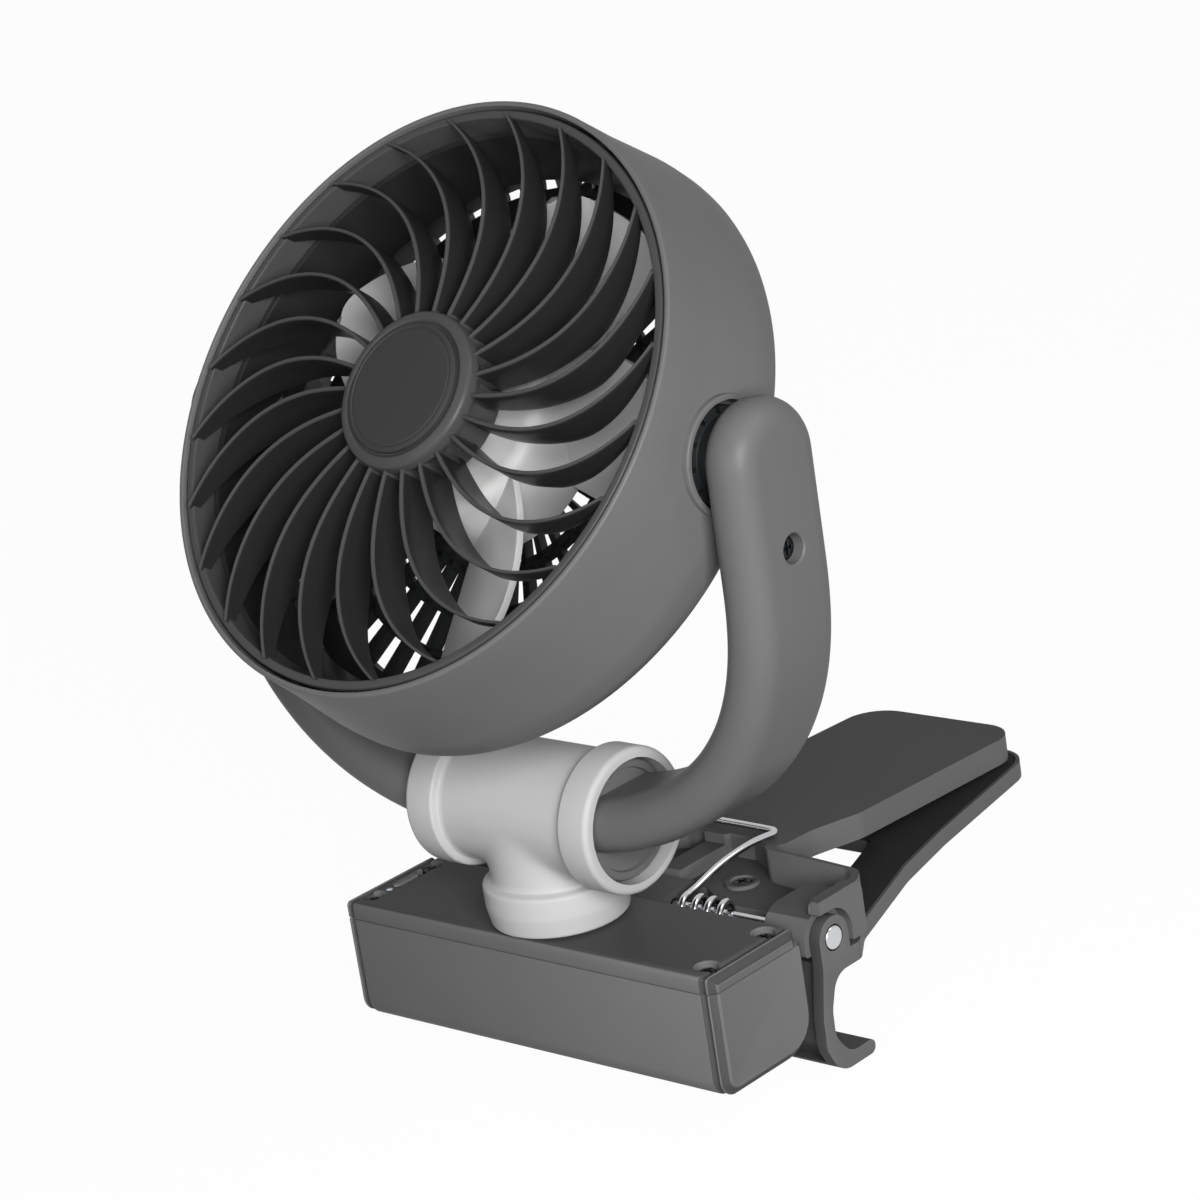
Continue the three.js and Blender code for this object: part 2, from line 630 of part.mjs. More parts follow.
// ---------------------------------------------------------------- fan head, in its own frame
function headShell() {
  const out = HEAD.back;
  const rear = HEAD.rear - HEAD.round;
  const w = HEAD.wall;
  const bead = HEAD.lip / 2;
  const points = [
    [HEAD.front - HEAD.lip - 0.5, HEAD.ring - bead],
    [HEAD.front - bead, HEAD.ring],
    [HEAD.front, HEAD.ring - bead],
    [HEAD.front + 0.9, HEAD.ring - 12],
    [out, HEAD.rear],
    [out - HEAD.round * 0.3, HEAD.rear - HEAD.round * 0.7],
    [out - HEAD.round, rear],
    [HEAD.floor, rear],
    [HEAD.floor, rear + w],
    [out - HEAD.round - 0.4, rear + w],
    [out - w - 0.6, HEAD.rear],
    [HEAD.front - w - 0.3, GRILLE.front - GRILLE.deep - GAP],
    [HEAD.front - HEAD.lip - 0.5, GRILLE.front - GRILLE.deep - GAP],
  ];
  let body = ringed(points, FINE);
  const padOut = HEAD.back - 0.4;
  const boss = cut(rod(PIVOT.pad, PAD_IN - 3, padOut, ROUND), rod(PIVOT.dish, PAD_IN, padOut + 1, ROUND));
  const clear = toX(rod(PIVOT.dish, PAD_IN, padOut + 3, ROUND), 0, 0);
  const eye = toX(rod(PIVOT.pin + RUNNING, PAD_IN - 6, padOut, ROUND), 0, 0);
  const socket = toX(boss, 0, 0);
  body = body.add(socket).subtract(join(clear, eye));
  body = body.add(mirrorX(socket)).subtract(mirrorX(join(clear, eye)));
  for (const at of GRILLE_SCREWS) {
    body = body.subtract(rod(GRILLE_SCREW.shank + PLAY, rear - 1, rear + w + 1).translate([at[0], at[1], 0]));
  }
  return body;
}

const GRILLE_SCREWS = [0, 1, 2].map((k) => {
  const turn = QUARTER + (k * TURN) / 3;
  const radius = HEAD.floor + 1.9;
  return [radius * Math.cos(turn), radius * Math.sin(turn)];
});

/** One swirl vane of the front grille, from the hub ring to the outer ring. */
function vane(k) {
  const r0 = HUB.outer - 2.5;
  const r1 = GRILLE.inner + 0.8;
  const start = ((k + GRILLE.phase) / GRILLE.vanes) * TURN;
  const sweep = THREE.MathUtils.degToRad(GRILLE.sweep);
  const front = (u) => GRILLE.front - PLAY + GRILLE.crown * (1 - u) ** 2;
  return warped(4, 1, 1, (u, v, w) => {
    const r = r0 + (r1 - r0) * u;
    const turn = start + sweep * u ** GRILLE.bend + ((v - 0.5) * GRILLE.thin) / r;
    const z = front(u) - GRILLE.deep * (1 - GRILLE.taper * u ** 3) * (1 - w);
    return [r * Math.cos(turn), r * Math.sin(turn), z];
  });
}

function frontGrille() {
  const ring = ringed([
    [GRILLE.inner, GRILLE.front - GRILLE.deep],
    [GRILLE.outer, GRILLE.front - GRILLE.deep],
    [GRILLE.outer, GRILLE.front],
    [GRILLE.inner, GRILLE.front],
  ], FINE);
  const hub = ringed([
    [HUB.disc - 1.4, HUB.back],
    [HUB.outer - 1.6, HUB.back],
    [HUB.outer, HUB.proud - 1.6],
    [HUB.outer - 1.6, HUB.proud],
    [HUB.step + 0.6, HUB.proud + 0.2],
    [HUB.step, HUB.proud - 0.5],
    [HUB.disc - 1.4, HUB.proud - 0.5],
  ], ROUND);
  const vanes = Array.from({ length: GRILLE.vanes }, (_, k) => vane(k));
  return join(ring, hub, ...vanes);
}

function hubCap() {
  const seat = HUB.proud - 0.5 + GAP / 2;
  return turned([
    [0, seat - 3],
    [HUB.disc - 1.4 - GAP, seat - 3],
    [HUB.disc - 1.4 - GAP, seat],
    [HUB.step - GAP, seat],
    [HUB.step - GAP, HUB.capProud - 0.7],
    [HUB.step - 0.9, HUB.capProud - 0.2],
    [HUB.disc + 0.2, HUB.capProud],
    [HUB.disc, HUB.capProud - 0.3],
    [0, HUB.capProud - 0.3],
  ], ROUND);
}

function rearGrille() {
  const high = HEAD.rear - HEAD.round + HEAD.wall + GAP + REAR.deep;
  const low = high - REAR.deep;
  const bead = REAR.thin / 2;
  const rims = REAR.rings.map((r) => tube(r - bead, r + bead, low, high, ROUND));
  const outer = tube(HEAD.floor - 2.6, REAR.flange, low, high, FINE);
  const mount = tube(POST.bore, REAR.mount, low, high, ROUND);
  const bars = Array.from({ length: REAR.bars }, (_, k) => {
    const bar = block(REAR.mount - 1, HEAD.floor - 1, -bead, bead, low, high);
    return bar.rotate([0, 0, (360 * k) / REAR.bars]);
  });
  const cup = tube(MOTOR.radius + PLAY, MOTOR.radius + 1.7, low, low + REAR.cup, ROUND);
  let body = join(outer, mount, cup, ...rims, ...bars);
  for (const [x, y] of GRILLE_SCREWS) {
    body = body.subtract(rod(GRILLE_SCREW.shank + PLAY, low - 1, high + 1).translate([x, y, 0]));
  }
  return body;
}

function grilleScrew([x, y]) {
  const low = HEAD.rear - HEAD.round - PLAY;
  const high = HEAD.rear - HEAD.round + HEAD.wall + GAP + REAR.deep;
  const head = rod(GRILLE_SCREW.head - 0.5, high + PLAY, high + 1.4);
  const shank = rod(GRILLE_SCREW.shank, low, high + 0.3);
  return join(head, shank).translate([x, y, 0]);
}

function motorCan() {
  const low = HEAD.rear - HEAD.round + HEAD.wall + GAP + REAR.deep + PLAY;
  return turned([
    [0, low],
    [MOTOR.radius - 1, low],
    [MOTOR.radius, low + 1],
    [MOTOR.radius, MOTOR.front - 1],
    [MOTOR.radius - 1, MOTOR.front],
    [3.4, MOTOR.front],
    [3.4, MOTOR.front + 1],
    [0, MOTOR.front + 1],
  ], ROUND);
}

function motorShaft() {
  return rod(MOTOR.shaft, MOTOR.front + 1 + PLAY, MOTOR.shaftTop);
}

/** One blade of the rotor, pitched more steeply at the root. */
function blade(k) {
  const start = (k / ROTOR.blades) * TURN - QUARTER;
  const r0 = ROTOR.hub - ROTOR.wall * 0.75;
  return warped(4, 1, 3, (u, v, w) => {
    const r = r0 + (ROTOR.tip - r0) * u;
    const span = THREE.MathUtils.degToRad(ROTOR.rootSpan + (ROTOR.tipSpan - ROTOR.rootSpan) * u);
    const turn = start + span * w;
    const rise = (ROTOR.front - ROTOR.back - ROTOR.set) * (1 - ROTOR.flat * u);
    const camber = ROTOR.camber * Math.sin(Math.PI * w);
    const z = (ROTOR.front + ROTOR.back) / 2 + rise * (w - 0.5) + camber + (v - 0.5) * ROTOR.thick;
    return [r * Math.cos(turn), r * Math.sin(turn), z];
  });
}

function impeller() {
  const { wall } = ROTOR;
  const cup = ringed([
    [MOTOR.shaft + PLAY, ROTOR.front],
    [MOTOR.shaft + PLAY, MOTOR.front + 1.6],
    [4, MOTOR.front + 1.6],
    [4, ROTOR.front - 2.2],
    [ROTOR.hub - wall, ROTOR.front - 2.2],
    [ROTOR.hub - wall, ROTOR.back],
    [ROTOR.hub, ROTOR.back],
    [ROTOR.hub, ROTOR.front - 1.5],
    [ROTOR.hub - 1.5, ROTOR.front],
  ], ROUND);
  const blades = Array.from({ length: ROTOR.blades }, (_, k) => blade(k));
  return join(cup, ...blades);
}

// ---------------------------------------------------------------- clip
/** Right half of the upper jaw's outline, from the middle of its tip to its ear and in to the rod. */
function upperOutline() {
  return rounded([
    [0, PLATE.tip, 0],
    [PLATE.half, PLATE.tip, PLATE.corner],
    [PLATE.half, PLATE.root + 23, 14],
    [PLATE.neck, PLATE.root + 9, 12],
    [PLATE.neck, PLATE.root - 7, 7],
    [36, 45, 10],
    [50, 42.2, 3.5],
    [CLIP.half, CLIP.earBack - 1, 2.5],
    [CLIP.half, CLIP.earFront, 0],
    [EAR_IN, CLIP.earFront, 0],
    [EAR_IN, PIN.y, 0],
    [0, PIN.y, 0],
  ], 4);
}

/** Bounded pocket between the ridge, the rear wall and the ear, right half. */
function pocketOutline() {
  const w = FLOOR.wall;
  return rounded([
    [RIDGE.half, 0, 0],
    [RIDGE.half, PLATE.root, 0],
    [10, PLATE.root, 2],
    [PLATE.neck - w, PLATE.root - 4, 5],
    [PLATE.neck - w + 2.6, PLATE.root - 7 - w, 5],
    [35, 45 - w, 8],
    [EAR_IN - 2.4, 41.4 - w, 2],
    [CLIP.half - w - 0.4, CLIP.earBack - 1 - w, 1.5],
    [CLIP.half - w - 0.4, 0, 0],
  ], 3);
}

/** Height that the upper jaw's plate has lost at a place along it. */
const plateDrop = (y) => (y - PLATE.root) * Math.tan(THREE.MathUtils.degToRad(PLATE.fall));

/** A wedge that follows the underside of the upper jaw's plate, from below it up to a depth into it. */
function underPlate(depth) {
  const low = PLATE.top - PLATE.thick;
  return along([
    [PLATE.root, FLOOR.low - PLATE.thick],
    [PLATE.tip + 1, FLOOR.low - PLATE.thick],
    [PLATE.tip + 1, low + depth - plateDrop(PLATE.tip + 1)],
    [PLATE.root, low + depth],
  ], -CLIP.half, CLIP.half);
}

function upperJaw() {
  const reach = CLIP.half + 1;
  const low = PLATE.top - PLATE.thick;
  const sideLine = along([
    [CLIP.earFront, FLOOR.low],
    [PLATE.root - 1, FLOOR.low],
    [PLATE.root, low],
    [PLATE.tip + 1, low - plateDrop(PLATE.tip + 1)],
    [PLATE.tip + 1, PLATE.top - plateDrop(PLATE.tip + 1)],
    [PLATE.root, PLATE.top],
    [46, FLOOR.rim - 1.2],
    [41, FLOOR.rim],
    [CLIP.earFront, FLOOR.rim],
  ], -reach, reach);
  const shoulder = upright(whole(upperOutline()), 0, FLOOR.rim + 1).intersect(sideLine);
  const pocket = upright(pocketOutline(), FLOOR.high, FLOOR.rim + 2);
  const legSlot = upright(rounded([
    [RIDGE.half, 0, 0],
    [RIDGE.half, PLATE.root - 1, 1],
    [9.4, PLATE.root - 1, 2],
    [11.5, 43, 6],
    [16.8, 31, 2],
    [16.8, 0, 0],
  ], 2), 0, FLOOR.high + 1);
  const frontRoom = block(-EAR_IN, EAR_IN, 0, PIN.y + 4.6, 0, FLOOR.rim + 2);
  const coreTop = block(-RIDGE.half - 1, RIDGE.half + 1, PIN.y, PLATE.root - 2, RIDGE.top, FLOOR.rim + 2);
  const noseRoom = along([
    [0, 0],
    [RIDGE.nose - 3, 0],
    [RIDGE.nose - 3, FLOOR.low],
    [RIDGE.nose, RIDGE.top + 1],
    [0, RIDGE.top + 1],
  ], -RIDGE.half - 1, RIDGE.half + 1);
  const padHollow = upright(padOutline(0), 0, PLATE.top).intersect(underPlate(PLATE.pad));
  const deck = cut(cutBoth(shoulder, pocket, legSlot), frontRoom, coreTop, noseRoom, padHollow);
  const ear = along(
    rounded([
      [CLIP.earFront, FLOOR.rim, 2],
      [CLIP.earBack, FLOOR.rim, 2.2],
      [CLIP.earBack, CLIP.earFoot, 1],
      [CLIP.earFront, CLIP.earFoot, 0],
    ]), EAR_IN, CLIP.half);
  const lug = along(
    rounded([
      [PIN.y - LUG.radius, CLIP.earFoot, 1],
      [LUG.back, CLIP.earFoot, 0],
      [LUG.back, PIN.z + LUG.radius, 0],
      [PIN.y - LUG.radius, PIN.z + LUG.radius, LUG.radius],
    ], 5), LUG.inner, EAR_IN + 1);
  const arch = along(
    rounded([
      [0, 0, 0],
      [PIN.y + CLIP.arch, 0, 0],
      [PIN.y + CLIP.arch, PIN.z + CLIP.arch, CLIP.arch],
      [0, PIN.z + CLIP.arch, 0],
    ], 5), EAR_IN, reach);
  const rodHole = toX(rod(PIN.rod + GAP, 0, reach), PIN.y, PIN.z);
  const boss = rod(FLOOR.boss, FLOOR.low, FLOOR.high + 0.9, ROUND).translate([FLOOR.screwX, FLOOR.screwY, 0]);
  const sink = rod(FLOOR.recess, FLOOR.high - 0.5, FLOOR.rim).translate([FLOOR.screwX, FLOOR.screwY, 0]);
  const hole = rod(SADDLE.screw + PLAY, 0, FLOOR.rim).translate([FLOOR.screwX, FLOOR.screwY, 0]);
  const body = joinBoth(deck, ear, lug, boss);
  return cutBoth(body, arch, rodHole, sink, hole);
}

function padOutline(inset) {
  const x = PLATE.half - 2 - inset;
  return rounded([
    [-x, 66 + inset, 4],
    [x, 66 + inset, 4],
    [x, PLATE.tip - 2 - inset, PLATE.corner - 2],
    [-x, PLATE.tip - 2 - inset, PLATE.corner - 2],
  ], 3);
}

function upperPad() {
  const sheet = upright(padOutline(PLAY * 2), 0, PLATE.top);
  return sheet.intersect(underPlate(PLATE.pad - PLAY)).subtract(underPlate(0));
}

function jawSaddle() {
  const plate = upright(
    rounded([
      [-SADDLE.plateHalf, 33, 3],
      [SADDLE.plateHalf, 33, 3],
      [SADDLE.plateHalf, SADDLE.plateBack, 3],
      [-SADDLE.plateHalf, SADDLE.plateBack, 3],
    ], 3), SADDLE.low, SADDLE.plateTop);
  const core = along([
    [SADDLE.front, SADDLE.low],
    [34.5, SADDLE.low],
    [34.5, SADDLE.plateTop],
    [32.6, SADDLE.plateTop],
    [RIDGE.nose - 3 - GAP, SADDLE.plateTop + GAP],
    [RIDGE.nose - 1 - GAP, SADDLE.top - 1],
    [RIDGE.nose - 3, SADDLE.top],
    [30, SADDLE.top],
    [SADDLE.front + 3, SADDLE.top - 1],
    [SADDLE.front, SADDLE.top - 2],
  ], -SADDLE.half, SADDLE.half);
  const rodHole = toX(rod(PIN.rod + GAP, -SADDLE.half - 1, SADDLE.half + 1), PIN.y, PIN.z);
  let body = join(core, plate);
  body = body.subtract(rodHole);
  for (const s of [-1, 1]) {
    const bolt = toY(rod(SADDLE_SCREW.shank + PLAY, SADDLE.front - 1, SADDLE.front + 8), s * SADDLE_SCREW.x, SADDLE_SCREW.z);
    const screw = rod(SADDLE.screw + PLAY, 0, SADDLE.top).translate([s * FLOOR.screwX, FLOOR.screwY, 0]);
    body = cut(body, bolt, screw);
  }
  return body;
}

function jawScrew() {
  const seat = FLOOR.high - 0.5 + PLAY;
  const head = rod(FLOOR.recess - 0.5, seat, seat + 1.2);
  const shank = rod(SADDLE.screw, SADDLE.low, seat + HAIR);
  return join(head, shank).subtract(crossSocket(seat + 1.2, 1.4)).translate([FLOOR.screwX, FLOOR.screwY, 0]);
}

function saddleScrew() {
  const seat = BOX.back - BOX.wall - PLAY;
  const head = rod(SADDLE_SCREW.head, seat - SADDLE_SCREW.headTall, seat);
  const shank = rod(SADDLE_SCREW.shank, seat - HAIR, seat + SADDLE_SCREW.length - 2);
  return toY(head.add(shank), SADDLE_SCREW.x, SADDLE_SCREW.z);
}

function pivotRod() {
  const end = CLIP.half + PLAY * 2;
  const seat = EAR_IN + GAP;
  const body = turned([
    [0, -end],
    [PIN.head, -end],
    [PIN.head, -seat],
    [PIN.rod, -seat],
    [PIN.rod, seat],
    [PIN.head, seat],
    [PIN.head, end],
    [0, end],
  ], 20);
  return toX(body, PIN.y, PIN.z);
}

/** Side line of the lower jaw's strap and lip. */
function strapProfile() {
  return rounded([
    [21.9, JAW.webTop, 0],
    [19.9, 4.4, 6],
    [19.7, -2.6, 6],
    [25, -9.7, 7],
    [35.4, -9.9, 1.1],
    [35.2, -7.2, 1.1],
    [27, -7, 6],
    [22.9, -1.6, 6],
    [23.2, 5, 8],
    [25.9, JAW.low, 5],
    [34, JAW.low, 0],
    [34, JAW.webTop, 0],
  ], 3);
}

/** Side line of the hollow between the strap's two edges. */
function strapHollow() {
  return rounded([
    [PIN.y - 10, JAW.webTop + 1, 0],
    [24.1, JAW.webTop + 1, 0],
    [21.7, 3.4, 4],
    [21.5, -2.6, 4],
    [24.6, -7.4, 0],
    [PIN.y - 10, -7.4, 0],
  ], 3);
}

/** Outline of the lower jaw's plate, set in from its edge. */
function lowerOutline(inset) {
  return whole(rounded([
    [0, JAW.tip - inset, 0],
    [PLATE.half + 0.6 - inset, JAW.tip - inset, JAW.corner - inset],
    [32.4 - inset, 94, 60],
    [37.6 - inset, 73, 40],
    [48.5 - inset, 43, 12],
    [CLIP.half - inset, 35, 4],
    [CLIP.half - inset, PIN.y + 3 + inset, 0],
    [0, PIN.y + 3 + inset, 0],
  ], 2));
}

/** Outline of the opening in the middle of the lower jaw. */
function windowOutline(grow) {
  return whole(rounded([
    [0, 39 - grow, 0],
    [33 + grow, 39 - grow, 4],
    [25.6 + grow, 68, 20],
    [20 + grow, 83 + grow, 5],
    [0, 83 + grow, 0],
  ], 3));
}

function lowerJaw() {
  const earIn = EAR_IN + GAP;
  const reach = CLIP.half + 1;
  const strap = along(strapProfile(), -CLIP.half, CLIP.half);
  const strapRoom = along(strapHollow(), -earIn, earIn);
  const ear = along(
    rounded([
      [PIN.y - PIN.ear, JAW.webTop - 1, 0],
      [PIN.y + PIN.ear, JAW.webTop - 1, 0],
      [PIN.y + PIN.ear, PIN.z + PIN.ear, PIN.ear],
      [PIN.y - PIN.ear, PIN.z + PIN.ear, PIN.ear],
    ], 5), earIn, CLIP.half);
  const eye = toX(rod(PIN.head + GAP, 0, reach), PIN.y, PIN.z);
  const window = upright(windowOutline(0), 0, JAW.top + 1);
  const padRoom = block(-reach, reach, JAW.padBack, JAW.tip, 0, JAW.top + 2);
  const padHollow = upright(lowerOutline(JAW.margin), JAW.top - JAW.pad, JAW.top + 1).intersect(padRoom);
  const coilRoom = block(-earIn, earIn, 0, JAW.coilBack, JAW.webTop, PIN.z);
  const plate = cut(upright(lowerOutline(0), JAW.low, JAW.top - PLAY), padHollow);
  const flat = cut(join(plate, strap), strapRoom, window, coilRoom);
  return cutBoth(joinBoth(flat, ear), eye);
}

function lowerPad() {
  const room = block(-CLIP.half, CLIP.half, JAW.padBack + GAP, JAW.tip, 0, JAW.top + 2);
  const sheet = upright(lowerOutline(JAW.margin + PLAY * 2), JAW.top - JAW.pad + PLAY, JAW.top).intersect(room);
  return sheet.subtract(upright(windowOutline(GAP), 0, JAW.top + 1));
}

/** Middle line of the double torsion spring, from the right foot over the loop to the left foot. */
function springPoints() {
  const right = [];
  const foot = new THREE.Vector3(SPRING.outer, 20.7, 7.6);
  const leave = Math.PI * 0.9;
  const coilAt = (t) => {
    const x = SPRING.outer + (SPRING.inner - SPRING.outer) * t;
    const turn = leave - t * (SPRING.turns * TURN + leave - QUARTER);
    return new THREE.Vector3(x, PIN.y + SPRING.mean * Math.cos(turn), PIN.z + SPRING.mean * Math.sin(turn));
  };
  const first = coilAt(0);
  const footSteps = 5;
  for (let k = 0; k < footSteps; k += 1) right.push(foot.clone().lerp(first, k / footSteps));
  const steps = Math.round((SPRING.turns + 0.4) * 14);
  for (let k = 0; k <= steps; k += 1) right.push(coilAt(k / steps));
  const top = PLATE.top + SPRING.wire + GAP;
  const rise = new THREE.CatmullRomCurve3([
    new THREE.Vector3(SPRING.inner, PIN.y, PIN.z + SPRING.mean),
    new THREE.Vector3(SPRING.inner + 0.1, PIN.y + 3, PIN.z + SPRING.mean + 0.5),
    new THREE.Vector3(SPRING.inner + 0.6, PIN.y + 12, top - 0.9),
    new THREE.Vector3(SPRING.loopHalf - 0.4, PIN.y + 22, top + 0.4),
    new THREE.Vector3(SPRING.loopHalf, SPRING.loopY - SPRING.corner, top),
  ]);
  rise.getPoints(14).slice(1).forEach((at) => right.push(at));
  const bend = 4;
  for (let k = 1; k <= bend; k += 1) {
    const t = (k / bend) * QUARTER;
    right.push(new THREE.Vector3(
      SPRING.loopHalf - SPRING.corner + SPRING.corner * Math.cos(t),
      SPRING.loopY - SPRING.corner + SPRING.corner * Math.sin(t),
      top,
    ));
  }
  const left = right.map((at) => new THREE.Vector3(-at.x, at.y, at.z)).reverse();
  return [...right, ...left];
}

/** Least open distance between turns of a tube's middle line. */
function leastGap(points, radius) {
  let least = Infinity;
  for (let i = 0; i < points.length; i += 1) {
    let run = 0;
    for (let j = i + 1; j < points.length; j += 1) {
      run += points[j].distanceTo(points[j - 1]);
      if (run > radius * 8) least = Math.min(least, points[i].distanceTo(points[j]) - radius * 2);
    }
  }
  return least;
}

function torsionSpring() {
  const path = new THREE.CatmullRomCurve3(springPoints(), false, "centripetal");
  const sides = 5;
  const ring = Array.from({ length: sides }, (_, k) => {
    const t = (k / sides) * TURN;
    return [SPRING.wire * Math.cos(t), SPRING.wire * Math.sin(t)];
  });
  const steps = 140;
  console.log("torsion_spring least gap to itself, mm:", leastGap(path.getSpacedPoints(600), SPRING.wire).toFixed(2));
  return solid(new THREE.ExtrudeGeometry(outline(ring), { steps, bevelEnabled: false, extrudePath: path }));
}

// ---------------------------------------------------------------- assembly
const fan = new THREE.Group();
fan.name = "clip_fan";

function place(name, body, finish) {
  const mesh = new THREE.Mesh(surface(body), new THREE.MeshStandardMaterial(FINISH[finish]));
  mesh.name = name;
  fan.add(mesh);
}

place("box_shell", boxShell(), "charcoal");
place("box_lid", boxLid(), "charcoal");
SCREW_SPOTS.forEach((at, k) => place(`lid_screw_${k + 1}`, boxScrew(at), "steel"));
place("battery_cell", batteryCell(), "cell");
place("circuit_board", circuitBoard(), "board");
place("power_switch", tactSwitch(), "black");
place("status_lens", statusLens(), "lens");
place("charge_socket", chargeSocket(), "steel");
place("power_button", powerButton(), "charcoal");
place("swivel_post", swivelPost(), "black");
place("lid_nut", ringNut(POST.neck + PLAY, POST.nut, LID_UNDER - GAP - 1.5, LID_UNDER - GAP / 2), "black");
place("tee_nut", ringNut(POST.spigot + PLAY, POST.nut, NUT_LOW, NUT_LOW + POST.nutTall), "black");
place("tee_fitting", teeFitting(), "white");
place("yoke_barrel", yokeBarrel(), "black");
place("yoke_arm_right", yokeArm(), "charcoal");
place("yoke_arm_left", mirrorX(yokeArm()), "charcoal");
place("arm_screw_right", armScrew(), "steel");
place("arm_screw_left", mirrorX(armScrew()), "steel");
place("pivot_pin_right", pivotPin(), "steel");
place("pivot_pin_left", mirrorX(pivotPin()), "steel");
place("pivot_washer_right", pivotWasher(), "black");
place("pivot_washer_left", mirrorX(pivotWasher()), "black");
place("head_shell", inHead(headShell()), "charcoal");
place("front_grille", inHead(frontGrille()), "black");
place("hub_cap", inHead(hubCap()), "charcoal");
place("rear_grille", inHead(rearGrille()), "black");
GRILLE_SCREWS.forEach((at, k) => place(`grille_screw_${k + 1}`, inHead(grilleScrew(at)), "steel"));
place("motor_can", inHead(motorCan()), "steel");
place("motor_shaft", inHead(motorShaft()), "steel");
place("impeller", inHead(impeller()), "pale");
place("upper_jaw", upperJaw(), "charcoal");
place("upper_pad", upperPad(), "rubber");
place("jaw_saddle", jawSaddle(), "charcoal");
place("jaw_screw_right", jawScrew(), "steel");
place("jaw_screw_left", mirrorX(jawScrew()), "steel");
place("saddle_screw_right", saddleScrew(), "steel");
place("saddle_screw_left", mirrorX(saddleScrew()), "steel");
place("pivot_rod", pivotRod(), "chrome");
place("torsion_spring", torsionSpring(), "chrome");
place("lower_jaw", lowerJaw(), "charcoal");
place("lower_pad", lowerPad(), "rubber");

export default fan;
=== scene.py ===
"""Looks of a battery clip fan: a tilting head on a yoke, a tee on a power box, and a sprung clip.

Every length in this file is in millimetres until a mesh is made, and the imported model's frame is
in metres: origin under the middle of the power box, X along the box, Y towards the clip, Z up.
"""

from __future__ import annotations

import logging
import math
from contextlib import contextmanager
from dataclasses import dataclass
from enum import Enum
from typing import Callable, Iterable, Iterator, Sequence

import bpy
from mathutils import Matrix, Vector

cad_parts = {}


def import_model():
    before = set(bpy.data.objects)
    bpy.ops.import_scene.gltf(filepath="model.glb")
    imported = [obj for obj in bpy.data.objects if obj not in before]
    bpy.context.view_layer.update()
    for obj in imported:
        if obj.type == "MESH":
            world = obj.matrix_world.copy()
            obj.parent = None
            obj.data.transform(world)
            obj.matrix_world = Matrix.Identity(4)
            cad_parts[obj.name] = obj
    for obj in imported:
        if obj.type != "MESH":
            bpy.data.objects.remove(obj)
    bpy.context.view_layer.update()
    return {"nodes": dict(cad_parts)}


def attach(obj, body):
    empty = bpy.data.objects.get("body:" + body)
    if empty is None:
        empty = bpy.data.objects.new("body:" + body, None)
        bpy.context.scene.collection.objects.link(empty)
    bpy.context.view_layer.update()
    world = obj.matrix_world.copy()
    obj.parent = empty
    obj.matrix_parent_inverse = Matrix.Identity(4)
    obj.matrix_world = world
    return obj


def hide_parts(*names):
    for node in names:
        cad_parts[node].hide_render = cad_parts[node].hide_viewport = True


LOG = logging.getLogger("clip_fan")
MM = 0.001
TURN = math.tau
QUARTER = math.pi / 2
# Steps round a turned piece, by how large it shows.
COARSE, EVEN, FINE, FINEST = 48, 96, 120, 192
Point2 = tuple[float, float]
Corner = tuple[float, float, float]
Rule = Callable[[float, float], tuple[float, float, float]]


# ---------------------------------------------------------------- finishes
def linear(code: str) -> tuple[float, float, float, float]:
    """Turn a hex sRGB colour into linear RGBA.

    Args:
        code: Six hex digits.

    Returns:
        Linear red, green, blue and an alpha of 1.
    """
    levels = [int(code[k : k + 2], 16) / 255 for k in (0, 2, 4)]
    curve = [v / 12.92 if v <= 0.04045 else ((v + 0.055) / 1.055) ** 2.4 for v in levels]
    return (curve[0], curve[1], curve[2], 1.0)


def add(tree: bpy.types.NodeTree, kind: str, wires: dict | None = None, **settings) -> bpy.types.Node:
    """Add a node with its settings and links.

    Args:
        tree: The node tree.
        kind: The node's type name.
        wires: Input names or numbers to a value or to the output socket that feeds them.
        settings: Properties of the node itself.

    Returns:
        The new node.
    """
    node = tree.nodes.new(kind)
    for name, value in settings.items():
        setattr(node, name, value)
    for name, value in (wires or {}).items():
        if isinstance(value, bpy.types.NodeSocket):
            tree.links.new(value, node.inputs[name])
        else:
            node.inputs[name].default_value = value
    return node


class Process(Enum):
    """How a surface was made."""

    SPARKED = "moulded in a spark-eroded tool"
    POLISHED = "moulded in a polished tool"
    DRAWN = "drawn and plated"
    TURNED = "turned and plated"
    CALENDERED = "rolled soft sheet"


